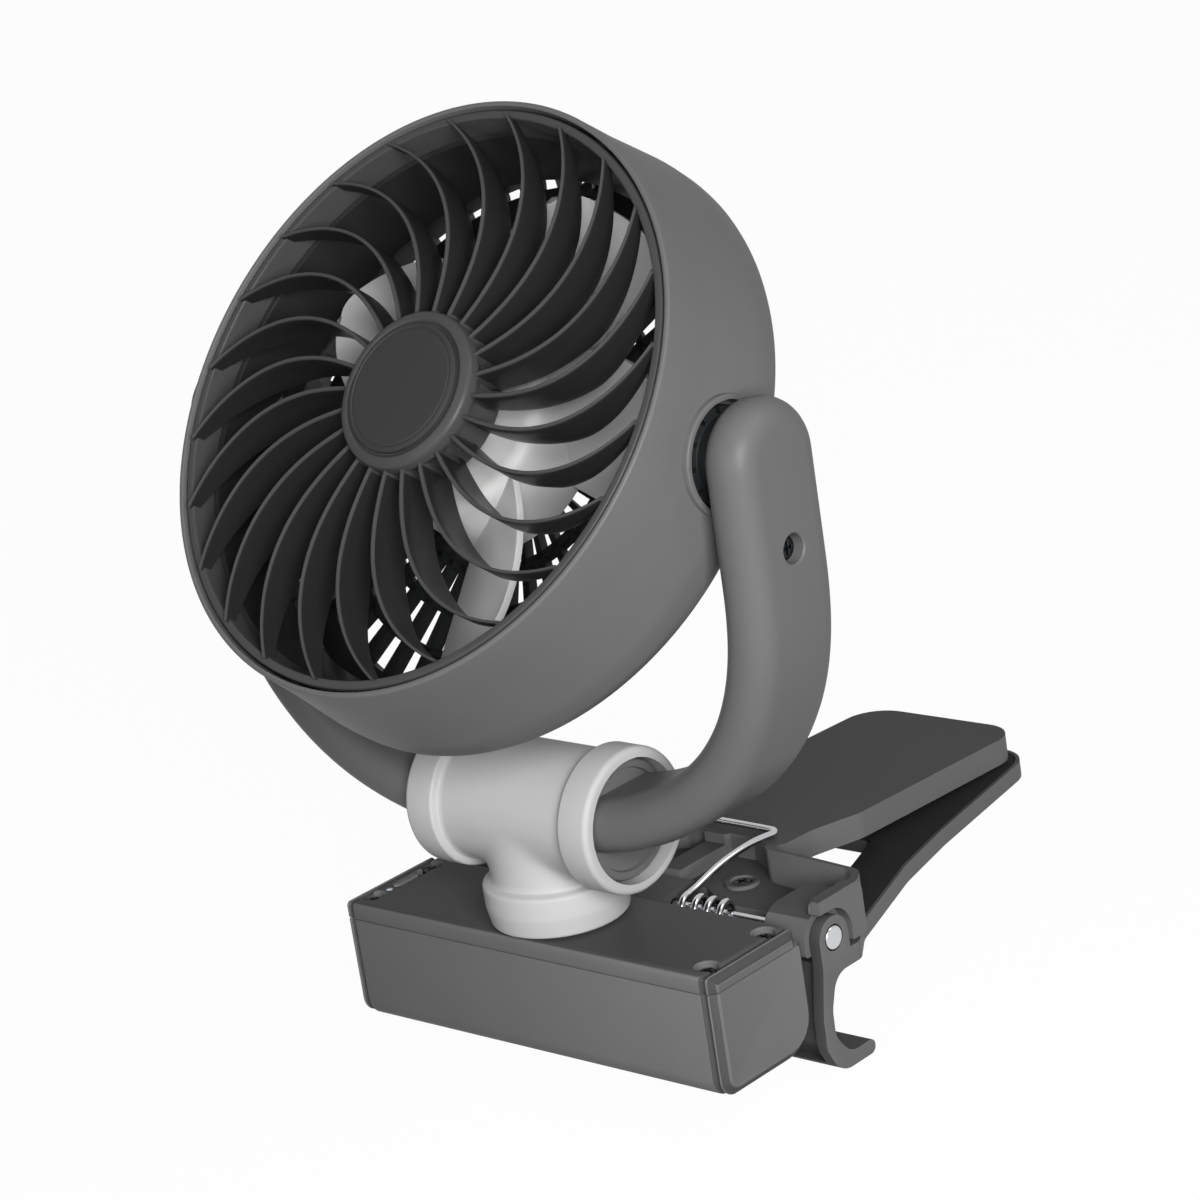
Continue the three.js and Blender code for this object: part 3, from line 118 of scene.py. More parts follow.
@dataclass(frozen=True)
class Finish:
    """One real material and the way its surface was made."""

    name: str
    colour: str
    process: Process
    roughness: float
    metallic: float = 0.0
    ior: float = 1.5
    grain: float = 0.5  # width of the surface's grain, mm
    relief: float = 0.02  # height of that grain, mm
    drift: float = 0.06  # share of the lightness that wanders over the piece
    patch: float = 18.0  # width of a wandering patch, mm
    stretch: tuple[float, float, float] = (1.0, 1.0, 1.0)
    specular: float = 0.14  # share of a plastic's mirror light; 0.5 is plain gloss

    def build(self) -> bpy.types.Material:
        """Make the material.

        Returns:
            A material whose grain, tone and gloss all follow the object's own coordinates.
        """
        made = bpy.data.materials.new(self.name)
        made.use_nodes = True
        tree = made.node_tree
        tree.nodes.clear()
        place = add(tree, "ShaderNodeTexCoord")
        turn = add(tree, "ShaderNodeMapping", {"Vector": place.outputs["Object"], "Scale": self.stretch})
        patch = add(
            tree,
            "ShaderNodeTexNoise",
            {"Vector": place.outputs["Object"], "Scale": 1 / (self.patch * MM), "Detail": 3.0},
        )
        grain = add(
            tree,
            "ShaderNodeTexNoise",
            {"Vector": turn.outputs["Vector"], "Scale": 1 / (self.grain * MM), "Detail": 2.0},
        )
        base = linear(self.colour)
        low = tuple(c * (1 - self.drift) for c in base[:3]) + (1.0,)
        high = tuple(min(1.0, c * (1 + self.drift)) for c in base[:3]) + (1.0,)
        tone = add(tree, "ShaderNodeMix", {0: patch.outputs["Fac"], 6: low, 7: high}, data_type="RGBA")
        gloss = add(
            tree,
            "ShaderNodeMapRange",
            {"Value": grain.outputs["Fac"], "To Min": self.roughness - 0.05, "To Max": self.roughness + 0.05},
        )
        bump = add(
            tree,
            "ShaderNodeBump",
            {"Height": grain.outputs["Fac"], "Distance": self.relief * MM, "Strength": 0.6},
        )
        shader = add(
            tree,
            "ShaderNodeBsdfPrincipled",
            {
                "Base Color": tone.outputs[2],
                "Roughness": gloss.outputs["Result"],
                "Metallic": self.metallic,
                "Normal": bump.outputs["Normal"],
            },
        )
        if not self.metallic:
            shader.inputs["IOR"].default_value = self.ior
            shader.inputs["Specular IOR Level"].default_value = self.specular
        add(tree, "ShaderNodeOutputMaterial", {"Surface": shader.outputs["BSDF"]})
        return made


# Charcoal ABS from a spark-eroded tool: an even satin with soft, wide highlights.
CHARCOAL = Finish("charcoal_abs_sparked", "5c5c5d", Process.SPARKED, 0.42)
# The same ABS in the box and the clip's sides, a shade lighter from a less polished tool.
BOX_BLACK = Finish("graphite_abs_sparked", "5e5e5f", Process.SPARKED, 0.46)
# Darker, less glossy copy of the same charcoal ABS, as painted shade: on the lid's top and the upper jaw's
# flats, which the lamps light little, in the box's end grooves, and on the saddle and the lower jaw but for
# its sides.
SHADED_CHARCOAL = Finish("charcoal_abs_painted_shade", "434344", Process.SPARKED, 0.5, specular=0.09)
# Black ABS of the guard, painted darker still as painted shade on the vanes' sides and in the gaps between
# them; a little glossier, so that each vane's front edge takes a thin light.
GUARD_SHADED = Finish("guard_abs_painted_shade", "202021", Process.POLISHED, 0.36, grain=0.7, relief=0.01)
# Lighter copy of the guard's ABS, as painted light on the faces that look out: front edges, rim and hub ring.
GUARD_LIT = Finish("guard_abs_painted_light", "3e3e3f", Process.SPARKED, 0.36, grain=0.7, relief=0.01)
# Flat dark cap with a very fine matt, which reads as one even grey.
CAP_MATT = Finish("dark_abs_matt_cap", "303031", Process.SPARKED, 0.62, grain=0.6, relief=0.01, drift=0.02)
# Black inner mouldings that only show in gaps.
INNER_BLACK = Finish("black_abs_inner", "191a1b", Process.SPARKED, 0.55)
# Pale grey PVC of the tee, matt from its tool, with a soft bloom.
WHITE_PVC = Finish("pale_grey_pvc_matt", "a9a9a9", Process.SPARKED, 0.5, drift=0.015, relief=0.012)
# Pale grey ABS of the rotor, smooth and slightly glossy.
PALE_ABS = Finish("pale_grey_abs_smooth", "c2c1c1", Process.POLISHED, 0.35, drift=0.03, relief=0.008)
# Black rubber sheet on the jaws: no gloss, fine nap.
PAD_RUBBER = Finish("black_rubber_sheet", "1a1a1b", Process.CALENDERED, 0.85, grain=0.8, relief=0.05)
# Nickel-plated spring wire, bright, with faint drawing marks along X.
BRIGHT_WIRE = Finish(
    "nickel_plated_wire",
    "e4e5e7",
    Process.DRAWN,
    0.16,
    metallic=1.0,
    drift=0.03,
    relief=0.004,
    stretch=(0.1, 1, 1),
)
# Zinc-plated steel of the hidden screws and the motor can: duller than the wire.
ZINC = Finish("zinc_plated_steel", "8d8f92", Process.TURNED, 0.34, metallic=1.0, drift=0.08, relief=0.006)
# Blackened zinc-plated steel of the screws that show.
BLACK_ZINC = Finish("black_zinc_screw", "37383a", Process.TURNED, 0.38, metallic=1.0, relief=0.006)
# Green solder resist on glass-fibre board.
RESIST = Finish("green_solder_resist", "1f5c38", Process.POLISHED, 0.4, drift=0.1, grain=1.2)
# Printed shrink sleeve of the cell, plain blue.
SLEEVE = Finish("blue_shrink_sleeve", "2c6ea6", Process.CALENDERED, 0.3, drift=0.05)
# Clear light pipe, frosted at its tip.
LIGHT_PIPE = Finish("frosted_acrylic_pipe", "e6eff8", Process.POLISHED, 0.2, ior=1.49, drift=0.01)


class Wardrobe:
    """Builds each finish once and hands out the material."""

    def __init__(self) -> None:
        """Start with nothing built."""
        self.made: dict[str, bpy.types.Material] = {}

    def of(self, finish: Finish) -> bpy.types.Material:
        """Give the material of a finish, building it at first use."""
        if finish.name not in self.made:
            self.made[finish.name] = finish.build()
        return self.made[finish.name]


WARDROBE = Wardrobe()


# ---------------------------------------------------------------- plane geometry, mm
def rounded(corners: Sequence[Corner], steps: int = 8) -> list[Point2]:
    """Round the corners of a polygon.

    Args:
        corners: Points with a radius each.
        steps: Steps in each rounded corner.

    Returns:
        The outline's points, with no two in one place.
    """
    out: list[Point2] = []
    for i, (x, y, radius) in enumerate(corners):
        at = Vector((x, y))
        back = (Vector(corners[i - 1][:2]) - at).normalized()
        on = (Vector(corners[(i + 1) % len(corners)][:2]) - at).normalized()
        half = math.acos(max(-1.0, min(1.0, back.dot(on)))) / 2
        if radius <= 0 or half > QUARTER - 0.01:
            out.append((x, y))
            continue
        middle = at + (back + on).normalized() * radius / math.sin(half)
        start = at + back * radius / math.tan(half) - middle
        end = at + on * radius / math.tan(half) - middle
        turn = math.atan2(start.x * end.y - start.y * end.x, start.dot(end))
        for k in range(steps + 1):
            t = turn * k / steps
            c, s = math.cos(t), math.sin(t)
            out.append((middle.x + start.x * c - start.y * s, middle.y + start.x * s + start.y * c))
    return [p for i, p in enumerate(out) if math.dist(p, out[i - 1]) > 0.01]


def whole(half: Sequence[Point2]) -> list[Point2]:
    """Give a whole outline from its right half, whose first and last points lie on the middle line."""
    inner = list(half[1:-1])
    return inner + [(-x, y) for x, y in reversed(inner)]


def on_side(x: float, y: float, z: float) -> Matrix:
    """Give the matrix that lays Z along X and moves to a place, mm."""
    return Matrix.Translation((x, y, z)) @ Matrix.Rotation(QUARTER, 4, "Y")


# ---------------------------------------------------------------- bench
class Bench:
    """Modelling moves on meshes, each by Blender's own operators."""

    @staticmethod
    def clear() -> None:
        """Select nothing, in object mode."""
        if bpy.context.object and bpy.context.object.mode != "OBJECT":
            bpy.ops.object.mode_set(mode="OBJECT")
        bpy.ops.object.select_all(action="DESELECT")

    @staticmethod
    def take(piece: bpy.types.Object) -> None:
        """Make a piece the only one selected, and active."""
        Bench.clear()
        piece.select_set(True)
        bpy.context.view_layer.objects.active = piece

    @staticmethod
    @contextmanager
    def edit(piece: bpy.types.Object) -> Iterator[None]:
        """Open a piece in edit mode with all of it selected, and go back to object mode."""
        Bench.take(piece)
        bpy.ops.object.mode_set(mode="EDIT")
        bpy.ops.mesh.select_all(action="SELECT")
        yield
        bpy.ops.object.mode_set(mode="OBJECT")

    @staticmethod
    def loop(name: str, points: Sequence[Sequence[float]]) -> bpy.types.Object:
        """Lay a closed loop of points.

        Args:
            name: The piece's name.
            points: Places in space, mm.

        Returns:
            A mesh of edges alone.
        """
        Bench.clear()
        bpy.ops.mesh.primitive_circle_add(vertices=len(points), radius=1)
        piece = bpy.context.object
        piece.name = name
        for vertex, at in zip(piece.data.vertices, points):
            vertex.co = Vector(at) * MM
        return piece

    @staticmethod
    def cap(merge: float) -> None:
        """Merge what is selected in edit mode by a distance in metres, and fill the open ends."""
        bpy.ops.mesh.remove_doubles(threshold=merge)
        bpy.ops.mesh.select_all(action="DESELECT")
        bpy.ops.mesh.select_non_manifold(extend=False, use_boundary=True, use_wire=False)
        bpy.ops.mesh.fill_holes(sides=0)

    @staticmethod
    def close(piece: bpy.types.Object) -> bpy.types.Object:
        """Merge doubles and turn all faces outwards."""
        with Bench.edit(piece):
            bpy.ops.mesh.remove_doubles(threshold=1e-6)
            bpy.ops.mesh.dissolve_degenerate(threshold=1e-7)
            bpy.ops.mesh.normals_make_consistent(inside=False)
        return piece

    @staticmethod
    def extruded(name: str, points: Sequence[Sequence[float]], move: Sequence[float]) -> bpy.types.Object:
        """Fill a closed outline and extrude it.

        Args:
            name: The piece's name.
            points: Places in space, mm.
            move: How far the far face lies, mm.

        Returns:
            A closed prism.
        """
        piece = Bench.loop(name, points)
        with Bench.edit(piece):
            bpy.ops.mesh.edge_face_add()
            bpy.ops.mesh.extrude_region_move(TRANSFORM_OT_translate={"value": Vector(move) * MM})
        return Bench.close(piece)

    @staticmethod
    def upright(name: str, outline: Sequence[Point2], low: float, high: float) -> bpy.types.Object:
        """Make a prism on an x-y outline between two heights."""
        return Bench.extruded(name, [(x, y, low) for x, y in outline], (0, 0, high - low))

    @staticmethod
    def along(name: str, outline: Sequence[Point2], x0: float, x1: float) -> bpy.types.Object:
        """Make a prism on a y-z outline between two x values."""
        return Bench.extruded(name, [(x0, y, z) for y, z in outline], (x1 - x0, 0, 0))

    @staticmethod
    def block(name: str, low: Sequence[float], high: Sequence[float]) -> bpy.types.Object:
        """Make a cutter block between two corners, mm."""
        outline = [(low[0], low[1]), (high[0], low[1]), (high[0], high[1]), (low[0], high[1])]
        return Bench.upright(name, outline, low[2], high[2])

    @staticmethod
    def turned(
        name: str, profile: Sequence[Point2], steps: int = EVEN, closed: bool = False
    ) -> bpy.types.Object:
        """Spin a profile round Z.

        Args:
            name: The piece's name.
            profile: Radius and height of each point, mm.
            steps: Steps round the axis.
            closed: Whether the profile closes on itself, away from the axis.

        Returns:
            A closed turned piece.
        """
        piece = Bench.loop(name, [(r, 0, z) for r, z in profile])
        Bench.take(piece)
        bpy.ops.object.mode_set(mode="EDIT")
        if not closed:
            bpy.ops.mesh.select_all(action="DESELECT")
            bpy.ops.object.mode_set(mode="OBJECT")
            last = len(profile) - 1
            for edge in piece.data.edges:
                edge.select = set(edge.vertices) == {0, last}
            bpy.ops.object.mode_set(mode="EDIT")
            bpy.ops.mesh.select_mode(type="EDGE")
            bpy.ops.mesh.delete(type="EDGE")
        bpy.ops.mesh.select_mode(type="VERT")
        bpy.ops.mesh.select_all(action="SELECT")
        bpy.ops.mesh.spin(steps=steps, angle=TURN, center=(0, 0, 0), axis=(0, 0, 1))
        bpy.ops.object.mode_set(mode="OBJECT")
        return Bench.close(piece)

    @staticmethod
    def rod(name: str, radius: float, low: float, high: float, steps: int = COARSE) -> bpy.types.Object:
        """Make a plain rod up Z, as a start or a cutter."""
        return Bench.turned(name, [(0, low), (radius, low), (radius, high), (0, high)], steps)

    @staticmethod
    def skin(name: str, across: int, down: int, rule: Rule, caps: bool = False) -> bpy.types.Object:
        """Bend a grid to a rule.

        Args:
            name: The piece's name.
            across: Steps in the first direction.
            down: Steps in the second direction.
            rule: Gives a place in mm for a pair of numbers from 0 to 1.
            caps: Whether open ends are filled.

        Returns:
            The bent grid, its seam merged.
        """
        Bench.clear()
        bpy.ops.mesh.primitive_grid_add(x_subdivisions=across, y_subdivisions=down, size=1)
        piece = bpy.context.object
        piece.name = name
        for vertex in piece.data.vertices:
            vertex.co = Vector(rule(vertex.co.x + 0.5, vertex.co.y + 0.5)) * MM
        if caps:
            with Bench.edit(piece):
                Bench.cap(1e-6)
        return Bench.close(piece)

    @staticmethod
    def placed(piece: bpy.types.Object, matrix: Matrix) -> bpy.types.Object:
        """Move a piece's mesh by a matrix in mm."""
        scaled = matrix.copy()
        scaled.translation = matrix.translation * MM
        piece.data.transform(scaled)
        if scaled.determinant() < 0:
            Bench.close(piece)
        return piece

    @staticmethod
    def copied(piece: bpy.types.Object, matrix: Matrix) -> bpy.types.Object:
        """Copy a piece, with its own mesh, and move the copy by a matrix in mm."""
        twin = piece.copy()
        twin.data = piece.data.copy()
        bpy.context.scene.collection.objects.link(twin)
        return Bench.placed(twin, matrix)

    @staticmethod
    def mirrored(piece: bpy.types.Object, name: str) -> bpy.types.Object:
        """Copy a piece, with its own mesh, to the other side of x = 0."""
        twin = Bench.copied(piece, Matrix.Scale(-1, 4, (1, 0, 0)))
        twin.name = name
        return twin

    @staticmethod
    def ring(piece: bpy.types.Object, count: int, turn: float = 0.0) -> bpy.types.Object:
        """Copy a piece round Z and join the copies.

        Args:
            piece: The first one.
            count: How many in the end.
            turn: Angle of the first one, radians.

        Returns:
            All of them in one mesh.
        """
        turns = [Matrix.Rotation(turn + TURN * k / count, 4, "Z") for k in range(count)]
        copies = [Bench.copied(piece, spin) for spin in turns[1:]]
        Bench.placed(piece, turns[0])
        return Bench.joined([piece, *copies])

    @staticmethod
    def joined(pieces: Sequence[bpy.types.Object]) -> bpy.types.Object:
        """Put several pieces in one mesh, named for the first."""
        Bench.clear()
        for piece in pieces:
            piece.select_set(True)
        bpy.context.view_layer.objects.active = pieces[0]
        bpy.ops.object.join()
        return pieces[0]

    @staticmethod
    def modified(piece: bpy.types.Object, kind: str, **settings) -> bpy.types.Object:
        """Add a modifier, set it and apply it."""
        Bench.take(piece)
        modifier = piece.modifiers.new("step", kind)
        for name, value in settings.items():
            setattr(modifier, name, value)
        bpy.ops.object.modifier_apply(modifier="step")
        return piece

    @staticmethod
    def cut(piece: bpy.types.Object, *tools: bpy.types.Object, how: str = "DIFFERENCE") -> bpy.types.Object:
        """Use cutters on a piece, one after another, and throw them away.

        Args:
            piece: What is cut.
            tools: The cutters.
            how: DIFFERENCE, UNION or INTERSECT.

        Returns:
            The piece.
        """
        for tool in tools:
            Bench.modified(piece, "BOOLEAN", operation=how, object=tool, solver="EXACT")
            bpy.data.objects.remove(tool)
        return piece

    @staticmethod
    def both(tool: bpy.types.Object) -> list[bpy.types.Object]:
        """Give a cutter and its mirror image."""
        return [tool, Bench.mirrored(tool, tool.name + "_twin")]

    @staticmethod
    def softened(
        piece: bpy.types.Object, width: float, segments: int = 3, angle: float = 35
    ) -> bpy.types.Object:
        """Round every edge that is sharper than an angle.

        Args:
            piece: The piece.
            width: Width of the rounding, mm.
            segments: Faces across it.
            angle: Least angle between faces, degrees.

        Returns:
            The piece.
        """
        return Bench.modified(
            piece,
            "BEVEL",
            width=width * MM,
            segments=segments,
            limit_method="ANGLE",
            angle_limit=math.radians(angle),
            use_clamp_overlap=True,
            miter_outer="MITER_ARC",
        )

    @staticmethod
    def smooth(piece: bpy.types.Object, angle: float = 32) -> bpy.types.Object:
        """Shade a piece smooth, but for edges over an angle."""
        Bench.take(piece)
        bpy.ops.object.shade_smooth_by_angle(angle=math.radians(angle))
        return piece


def deliver(
    piece: bpy.types.Object,
    body: str,
    finish: Finish,
    nodes: Iterable[str],
    angle: float = 32,
    trim: tuple[Finish, Sequence[int]] | None = None,
) -> None:
    """Smooth, dress and hang a finished piece on its body.

    Args:
        piece: The piece, in place.
        body: The body that it moves with.
        finish: Its material.
        nodes: CAD nodes that it stands for.
        angle: Least angle that stays a sharp edge, degrees.
        trim: A second finish that paints light and shade on some faces, and the numbers of those faces.
    """
    Bench.smooth(piece, angle)
    piece.data.materials.clear()
    piece.data.materials.append(WARDROBE.of(finish))
    if trim:
        piece.data.materials.append(WARDROBE.of(trim[0]))
        for number in trim[1]:
            piece.data.polygons[number].material_index = 1
    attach(piece, body)
    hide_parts(*nodes)
    count = len(piece.data.polygons)
    LOG.info("%s on %s: %d faces, %s, %s", piece.name, body, count, finish.name, finish.process.value)


def deliver_pair(right: bpy.types.Object, body: str, finish: Finish, node: str) -> None:
    """Deliver a right-hand piece and its mirror image.

    Args:
        right: The right-hand piece, in place.
        body: The body that both move with.
        finish: Their material.
        node: The right-hand CAD node that it stands for.
    """
    left = Bench.mirrored(right, right.name.replace("right", "left"))
    deliver(right, body, finish, [node])
    deliver(left, body, finish, [node.replace("right", "left")])


def facing(piece: bpy.types.Object, axis: int, least: float, upward: bool = False) -> list[int]:
    """Find the faces that look along an axis.

    Args:
        piece: The piece, in place.
        axis: 0, 1 or 2 for X, Y or Z.
        least: Least share of the normal along that axis.
        upward: Whether only the positive way counts.

    Returns:
        The faces' numbers.
    """
    return [
        face.index
        for face in piece.data.polygons
        if (face.normal[axis] if upward else abs(face.normal[axis])) > least
    ]


def dress_node(node: bpy.types.Object, finish: Finish) -> None:
    """Give a carried-over CAD node its material."""
    material = WARDROBE.of(finish)
    if not node.material_slots:
        node.data.materials.append(material)
    for holder in node.material_slots:
        holder.material = material
    LOG.info("%s keeps its shape: %s", node.name, finish.name)


def screw(name: str, head: float, tall: float, shank: float, deep: float, drive: float) -> bpy.types.Object:
    """Model a pan-head cross screw whose head's top is at z = 0.

    Args:
        name: The piece's name.
        head: Radius of the head, mm.
        tall: Height of the head, mm.
        shank: Radius of the shank, mm.
        deep: Length under the head, mm.
        drive: Half the width of the cross, mm.

    Returns:
        The screw, pointing down Z.
    """
    crown = rounded([(0, 0, 0), (head, 0, tall * 0.55), (head, -tall, 0.1), (shank, -tall, 0)], 5)
    profile = crown + [(shank, -tall - deep), (0, -tall - deep)]
    piece = Bench.turned(name, profile, 40)
    slot = drive / 4.5
    for wide, thin in ((drive, slot), (slot, drive)):
        Bench.cut(piece, Bench.block("drive", (-wide, -thin, -tall * 0.7), (wide, thin, 1)))
    return Bench.softened(piece, 0.08, 1)


# ---------------------------------------------------------------- power box
@dataclass
class PowerBox:
    """The oblong box with its lid, screws, button and light."""

    length: float = 110
    front: float = -14.5
    lid_back: float = 14.5
    back: float = 16.5
    top: float = 28.4
    seam_low: float = 24.25
    seam_high: float = 24.55
    foot: float = 4.6
    heel: float = 9.0
    lid_edge: float = 1.3
    wall: float = 1.8
    lid_wall: float = 2.0
    screw_x: float = 49.6
    screw_front: float = -9.2
    screw_back: float = 9.6
    sink: float = 2.6
    sink_radius: float = 2.5
    light: Point2 = (-48.6, -5.1)
    light_radius: float = 0.9
    socket_half: float = 4.8
    socket_low: float = 15.7
    socket_high: float = 19.5
    socket_corner: float = 1.3
    bar_long: float = 7.6
    bar_wide: float = 1.7
    bar_shift: float = -1.7
    bar_proud: float = 0.35
    button_x: float = -48.8
    button_y: float = 2.1
    slot_long: float = 11.4
    slot_wide: float = 3.2

    def profile(self, inset: float, back: float, high: float, crown: float = 0) -> list[Point2]:
        """Give the box's side line, set in by a wall.

        Args:
            inset: How far it is set in, mm.
            back: Where the rear wall is, mm.
            high: Where it is closed at the top, mm.
            crown: Radius of the two top corners, mm.

        Returns:
            As many points for every inset.
        """
        least = 0.15
        bend = max(crown - inset, least) if crown else 0
        return rounded(
            [
                (self.front + inset, inset, max(self.foot - inset, least)),
                (back - inset, inset, self.heel - inset),
                (back - inset, high - (inset if crown else 0), bend),
                (self.front + inset, high - (inset if crown else 0), bend),
            ],
            10,
        )

    def end_stations(self) -> list[Point2]:
        """List the stations of a rounded end that two fine grooves frame.

        Returns:
            Depth from the end face and inset of each station, from the side inwards.
        """
        outer = [(3.9, 0), (3.6, 0.15), (3.3, 0.8), (2.3, 0.95), (2.05, 0.45), (1.9, 0.25), (1.65, 0.25)]
        inner = [(1.45, 0.45), (1.3, 1.1), (0.85, 1.6), (0.5, 1.95), (0.12, 2.1), (0, 2.35), (0.15, 2.8)]
        return outer + inner

    def rounded_ends(self, name: str, back: float, high: float, crown: float = 0) -> bpy.types.Object:
        """Loft the box's body through stations that round both ends.

        Args:
            name: The piece's name.
            back: Where the rear wall is, mm.
            high: How high the body goes, mm.
            crown: Radius of its two top corners, mm.

        Returns:
            The closed body.
        """
        half = self.length / 2
        right = [(half - depth, inset) for depth, inset in self.end_stations()]
        stations = [(-x, inset) for x, inset in reversed(right)] + right
        lines = [(x, self.profile(inset, back, high, crown)) for x, inset in stations]
        count = len(lines[0][1])

        def rule(u: float, v: float) -> tuple[float, float, float]:
            """Give the place on the body's skin."""
            x, line = lines[round(v * (len(lines) - 1))]
            y, z = line[round(u * count) % count]
            return (x, y, z)

        return Bench.skin(name, count, len(lines) - 1, rule, caps=True)

    def split(self, piece: bpy.types.Object, height: float, keep_low: bool) -> bpy.types.Object:
        """Cut a piece flat at a height and keep one side."""
        plane = {"plane_co": (0, 0, height * MM), "plane_no": (0, 0, 1)}
        with Bench.edit(piece):
            bpy.ops.mesh.bisect(**plane, use_fill=True, clear_outer=keep_low, clear_inner=not keep_low)
        return piece

    def shell(self) -> bpy.types.Object:
        """Model the lower shell."""
        piece = self.rounded_ends("box_shell_look", self.back, self.top + 4)
        self.split(piece, self.seam_low, True)
        half = self.length / 2 - self.wall
        hollow = Bench.along("hollow", self.profile(self.wall, self.back, self.top), -half, half)
        Bench.cut(piece, hollow)
        wide, low, high, bend = self.socket_half, self.socket_low, self.socket_high, self.socket_corner
        corners = [(-wide, low, bend), (wide, low, bend), (wide, high, bend), (-wide, high, bend)]
        socket = rounded(corners, 6)
        Bench.cut(piece, Bench.along("socket_mouth", socket, -self.length / 2 - 1, -half + 1))
        return Bench.softened(piece, 0.25, 2, 50)

    def oblong(self, long: float, wide: float, shift: float) -> list[Point2]:
        """Give an oblong with round ends at the button's place."""
        x, y = self.button_x, self.button_y + shift
        half = wide / 2
        return rounded(
            [(x + i * half, y + j * long / 2, half) for i, j in ((-1, -1), (1, -1), (1, 1), (-1, 1))],
            8,
        )

    def lid(self) -> bpy.types.Object:
        """Model the lid with its sunk screw seats, button slot and light hole."""
        piece = self.rounded_ends("box_lid_look", self.lid_back, self.top, self.lid_edge)
        self.split(piece, self.seam_high, False)
        room = self.length / 2 - self.wall
        Bench.cut(
            piece,
            Bench.block(
                "underside",
                (-room, self.front + self.wall, self.seam_high - 1),
                (room, self.lid_back - self.wall, self.top - self.lid_wall),
            ),
        )
        for x, y in self.screw_spots():
            sink = Bench.turned(
                "sink",
                [
                    (0, self.top - self.sink), (self.sink_radius, self.top - self.sink),
                    (self.sink_radius, self.top - 0.35), (self.sink_radius + 0.5, self.top + 0.15),
                    (self.sink_radius + 0.5, self.top + 1), (0, self.top + 1),
                ],
                40,
            )
            seat = Bench.rod("seat", self.sink_radius + 1, self.seam_high - 0.3, self.top - 1, 32)
            Bench.cut(piece, Bench.placed(seat, Matrix.Translation((x, y, 0))), how="UNION")
            Bench.cut(piece, Bench.placed(sink, Matrix.Translation((x, y, 0))))
        slot = self.oblong(self.slot_long, self.slot_wide, 0)
        Bench.cut(piece, Bench.upright("slot", slot, self.seam_high - 1, self.top + 1))
        eye = Bench.rod("eye", self.light_radius, self.seam_high, self.top + 1, 24)
        Bench.cut(piece, Bench.placed(eye, Matrix.Translation((*self.light, 0))))
        return Bench.softened(piece, 0.18, 2, 50)

    def grooves(self, piece: bpy.types.Object) -> list[int]:
        """Find the faces that lie in the two fine grooves of each end, which wear painted shade."""
        half = self.length / 2
        bands = ((half - 3.65, half - 2.1), (half - 1.5, half - 0.6))
        return [
            face.index
            for face in piece.data.polygons
            if any(low < abs(face.center.x) / MM < high for low, high in bands)
        ]

    def screw_spots(self) -> list[Point2]:
        """List the four screws' places."""
        return [
            (side * self.screw_x, y)
            for side, y in (
                (-1, self.screw_front), (-1, self.screw_back), (1, self.screw_back), (1, self.screw_front),
            )
        ]

    def button(self) -> bpy.types.Object:
        """Model the button: a raised ribbed bar on a flange that fills its slot."""
        base = self.oblong(self.slot_long - 0.6, self.slot_wide - 0.6, 0)
        bar = self.oblong(self.bar_long, self.bar_wide, self.bar_shift)
        piece = Bench.upright("power_button_look", base, self.top - 3.4, self.top - 1.5)
        Bench.cut(piece, Bench.upright("bar", bar, self.top - 2, self.top + self.bar_proud), how="UNION")
        return Bench.softened(piece, 0.3, 3, 40)

    def build(self) -> None:
        """Build and dress the box."""
        shell = self.shell()
        # The end grooves wear the darker copy of the ABS as painted shade.
        trim = (SHADED_CHARCOAL, self.grooves(shell))
        deliver(shell, "base", BOX_BLACK, ["box_shell"], 32, trim)
        lid = self.lid()
        # The lid's top and end grooves wear the darker copy of the ABS as painted shade.
        trim = (SHADED_CHARCOAL, facing(lid, 2, 0.8, True) + self.grooves(lid))
        deliver(lid, "base", BOX_BLACK, ["box_lid"], 32, trim)
        deliver(self.button(), "button", BOX_BLACK, ["power_button"])
        for k, (x, y) in enumerate(self.screw_spots(), start=1):
            piece = screw(f"lid_screw_{k}_look", 2.1, 1.5, 0.95, 8, 1.3)
            Bench.placed(piece, Matrix.Translation((x, y, self.top - self.sink + 1.6)))
            deliver(piece, "base", BLACK_ZINC, [f"lid_screw_{k}"])


def frames(points: Sequence[Vector]) -> list[tuple[Vector, Vector, Vector]]:
    """Carry a pair of cross directions along a line without twist.

    Args:
        points: The line.

    Returns:
        A place and two directions across the line, for each point.
    """
    out = []
    side = None
    for i, at in enumerate(points):
        ahead = points[min(i + 1, len(points) - 1)] - points[max(i - 1, 0)]
        ahead.normalize()
        if side is None:
            side = ahead.orthogonal().normalized()
        side = (side - ahead * side.dot(ahead)).normalized()
        out.append((at, side, ahead.cross(side)))
    return out


def tube_on(name: str, points: Sequence[Vector], radius: float, sides: int = 12) -> bpy.types.Object:
    """Skin a round tube on a line.

    Args:
        name: The piece's name.
        points: The line, mm.
        radius: The tube's radius, mm.
        sides: Faces round it.

    Returns:
        A closed tube.
    """
    carried = frames(points)
    steps = len(points) - 1

    def rule(u: float, v: float) -> tuple[float, float, float]:
        """Give the place on the tube's wall."""
        at, side, other = carried[round(v * steps)]
        turn = u * TURN
        return tuple(at + side * radius * math.cos(turn) + other * radius * math.sin(turn))

    return Bench.skin(name, sides, steps, rule, caps=True)


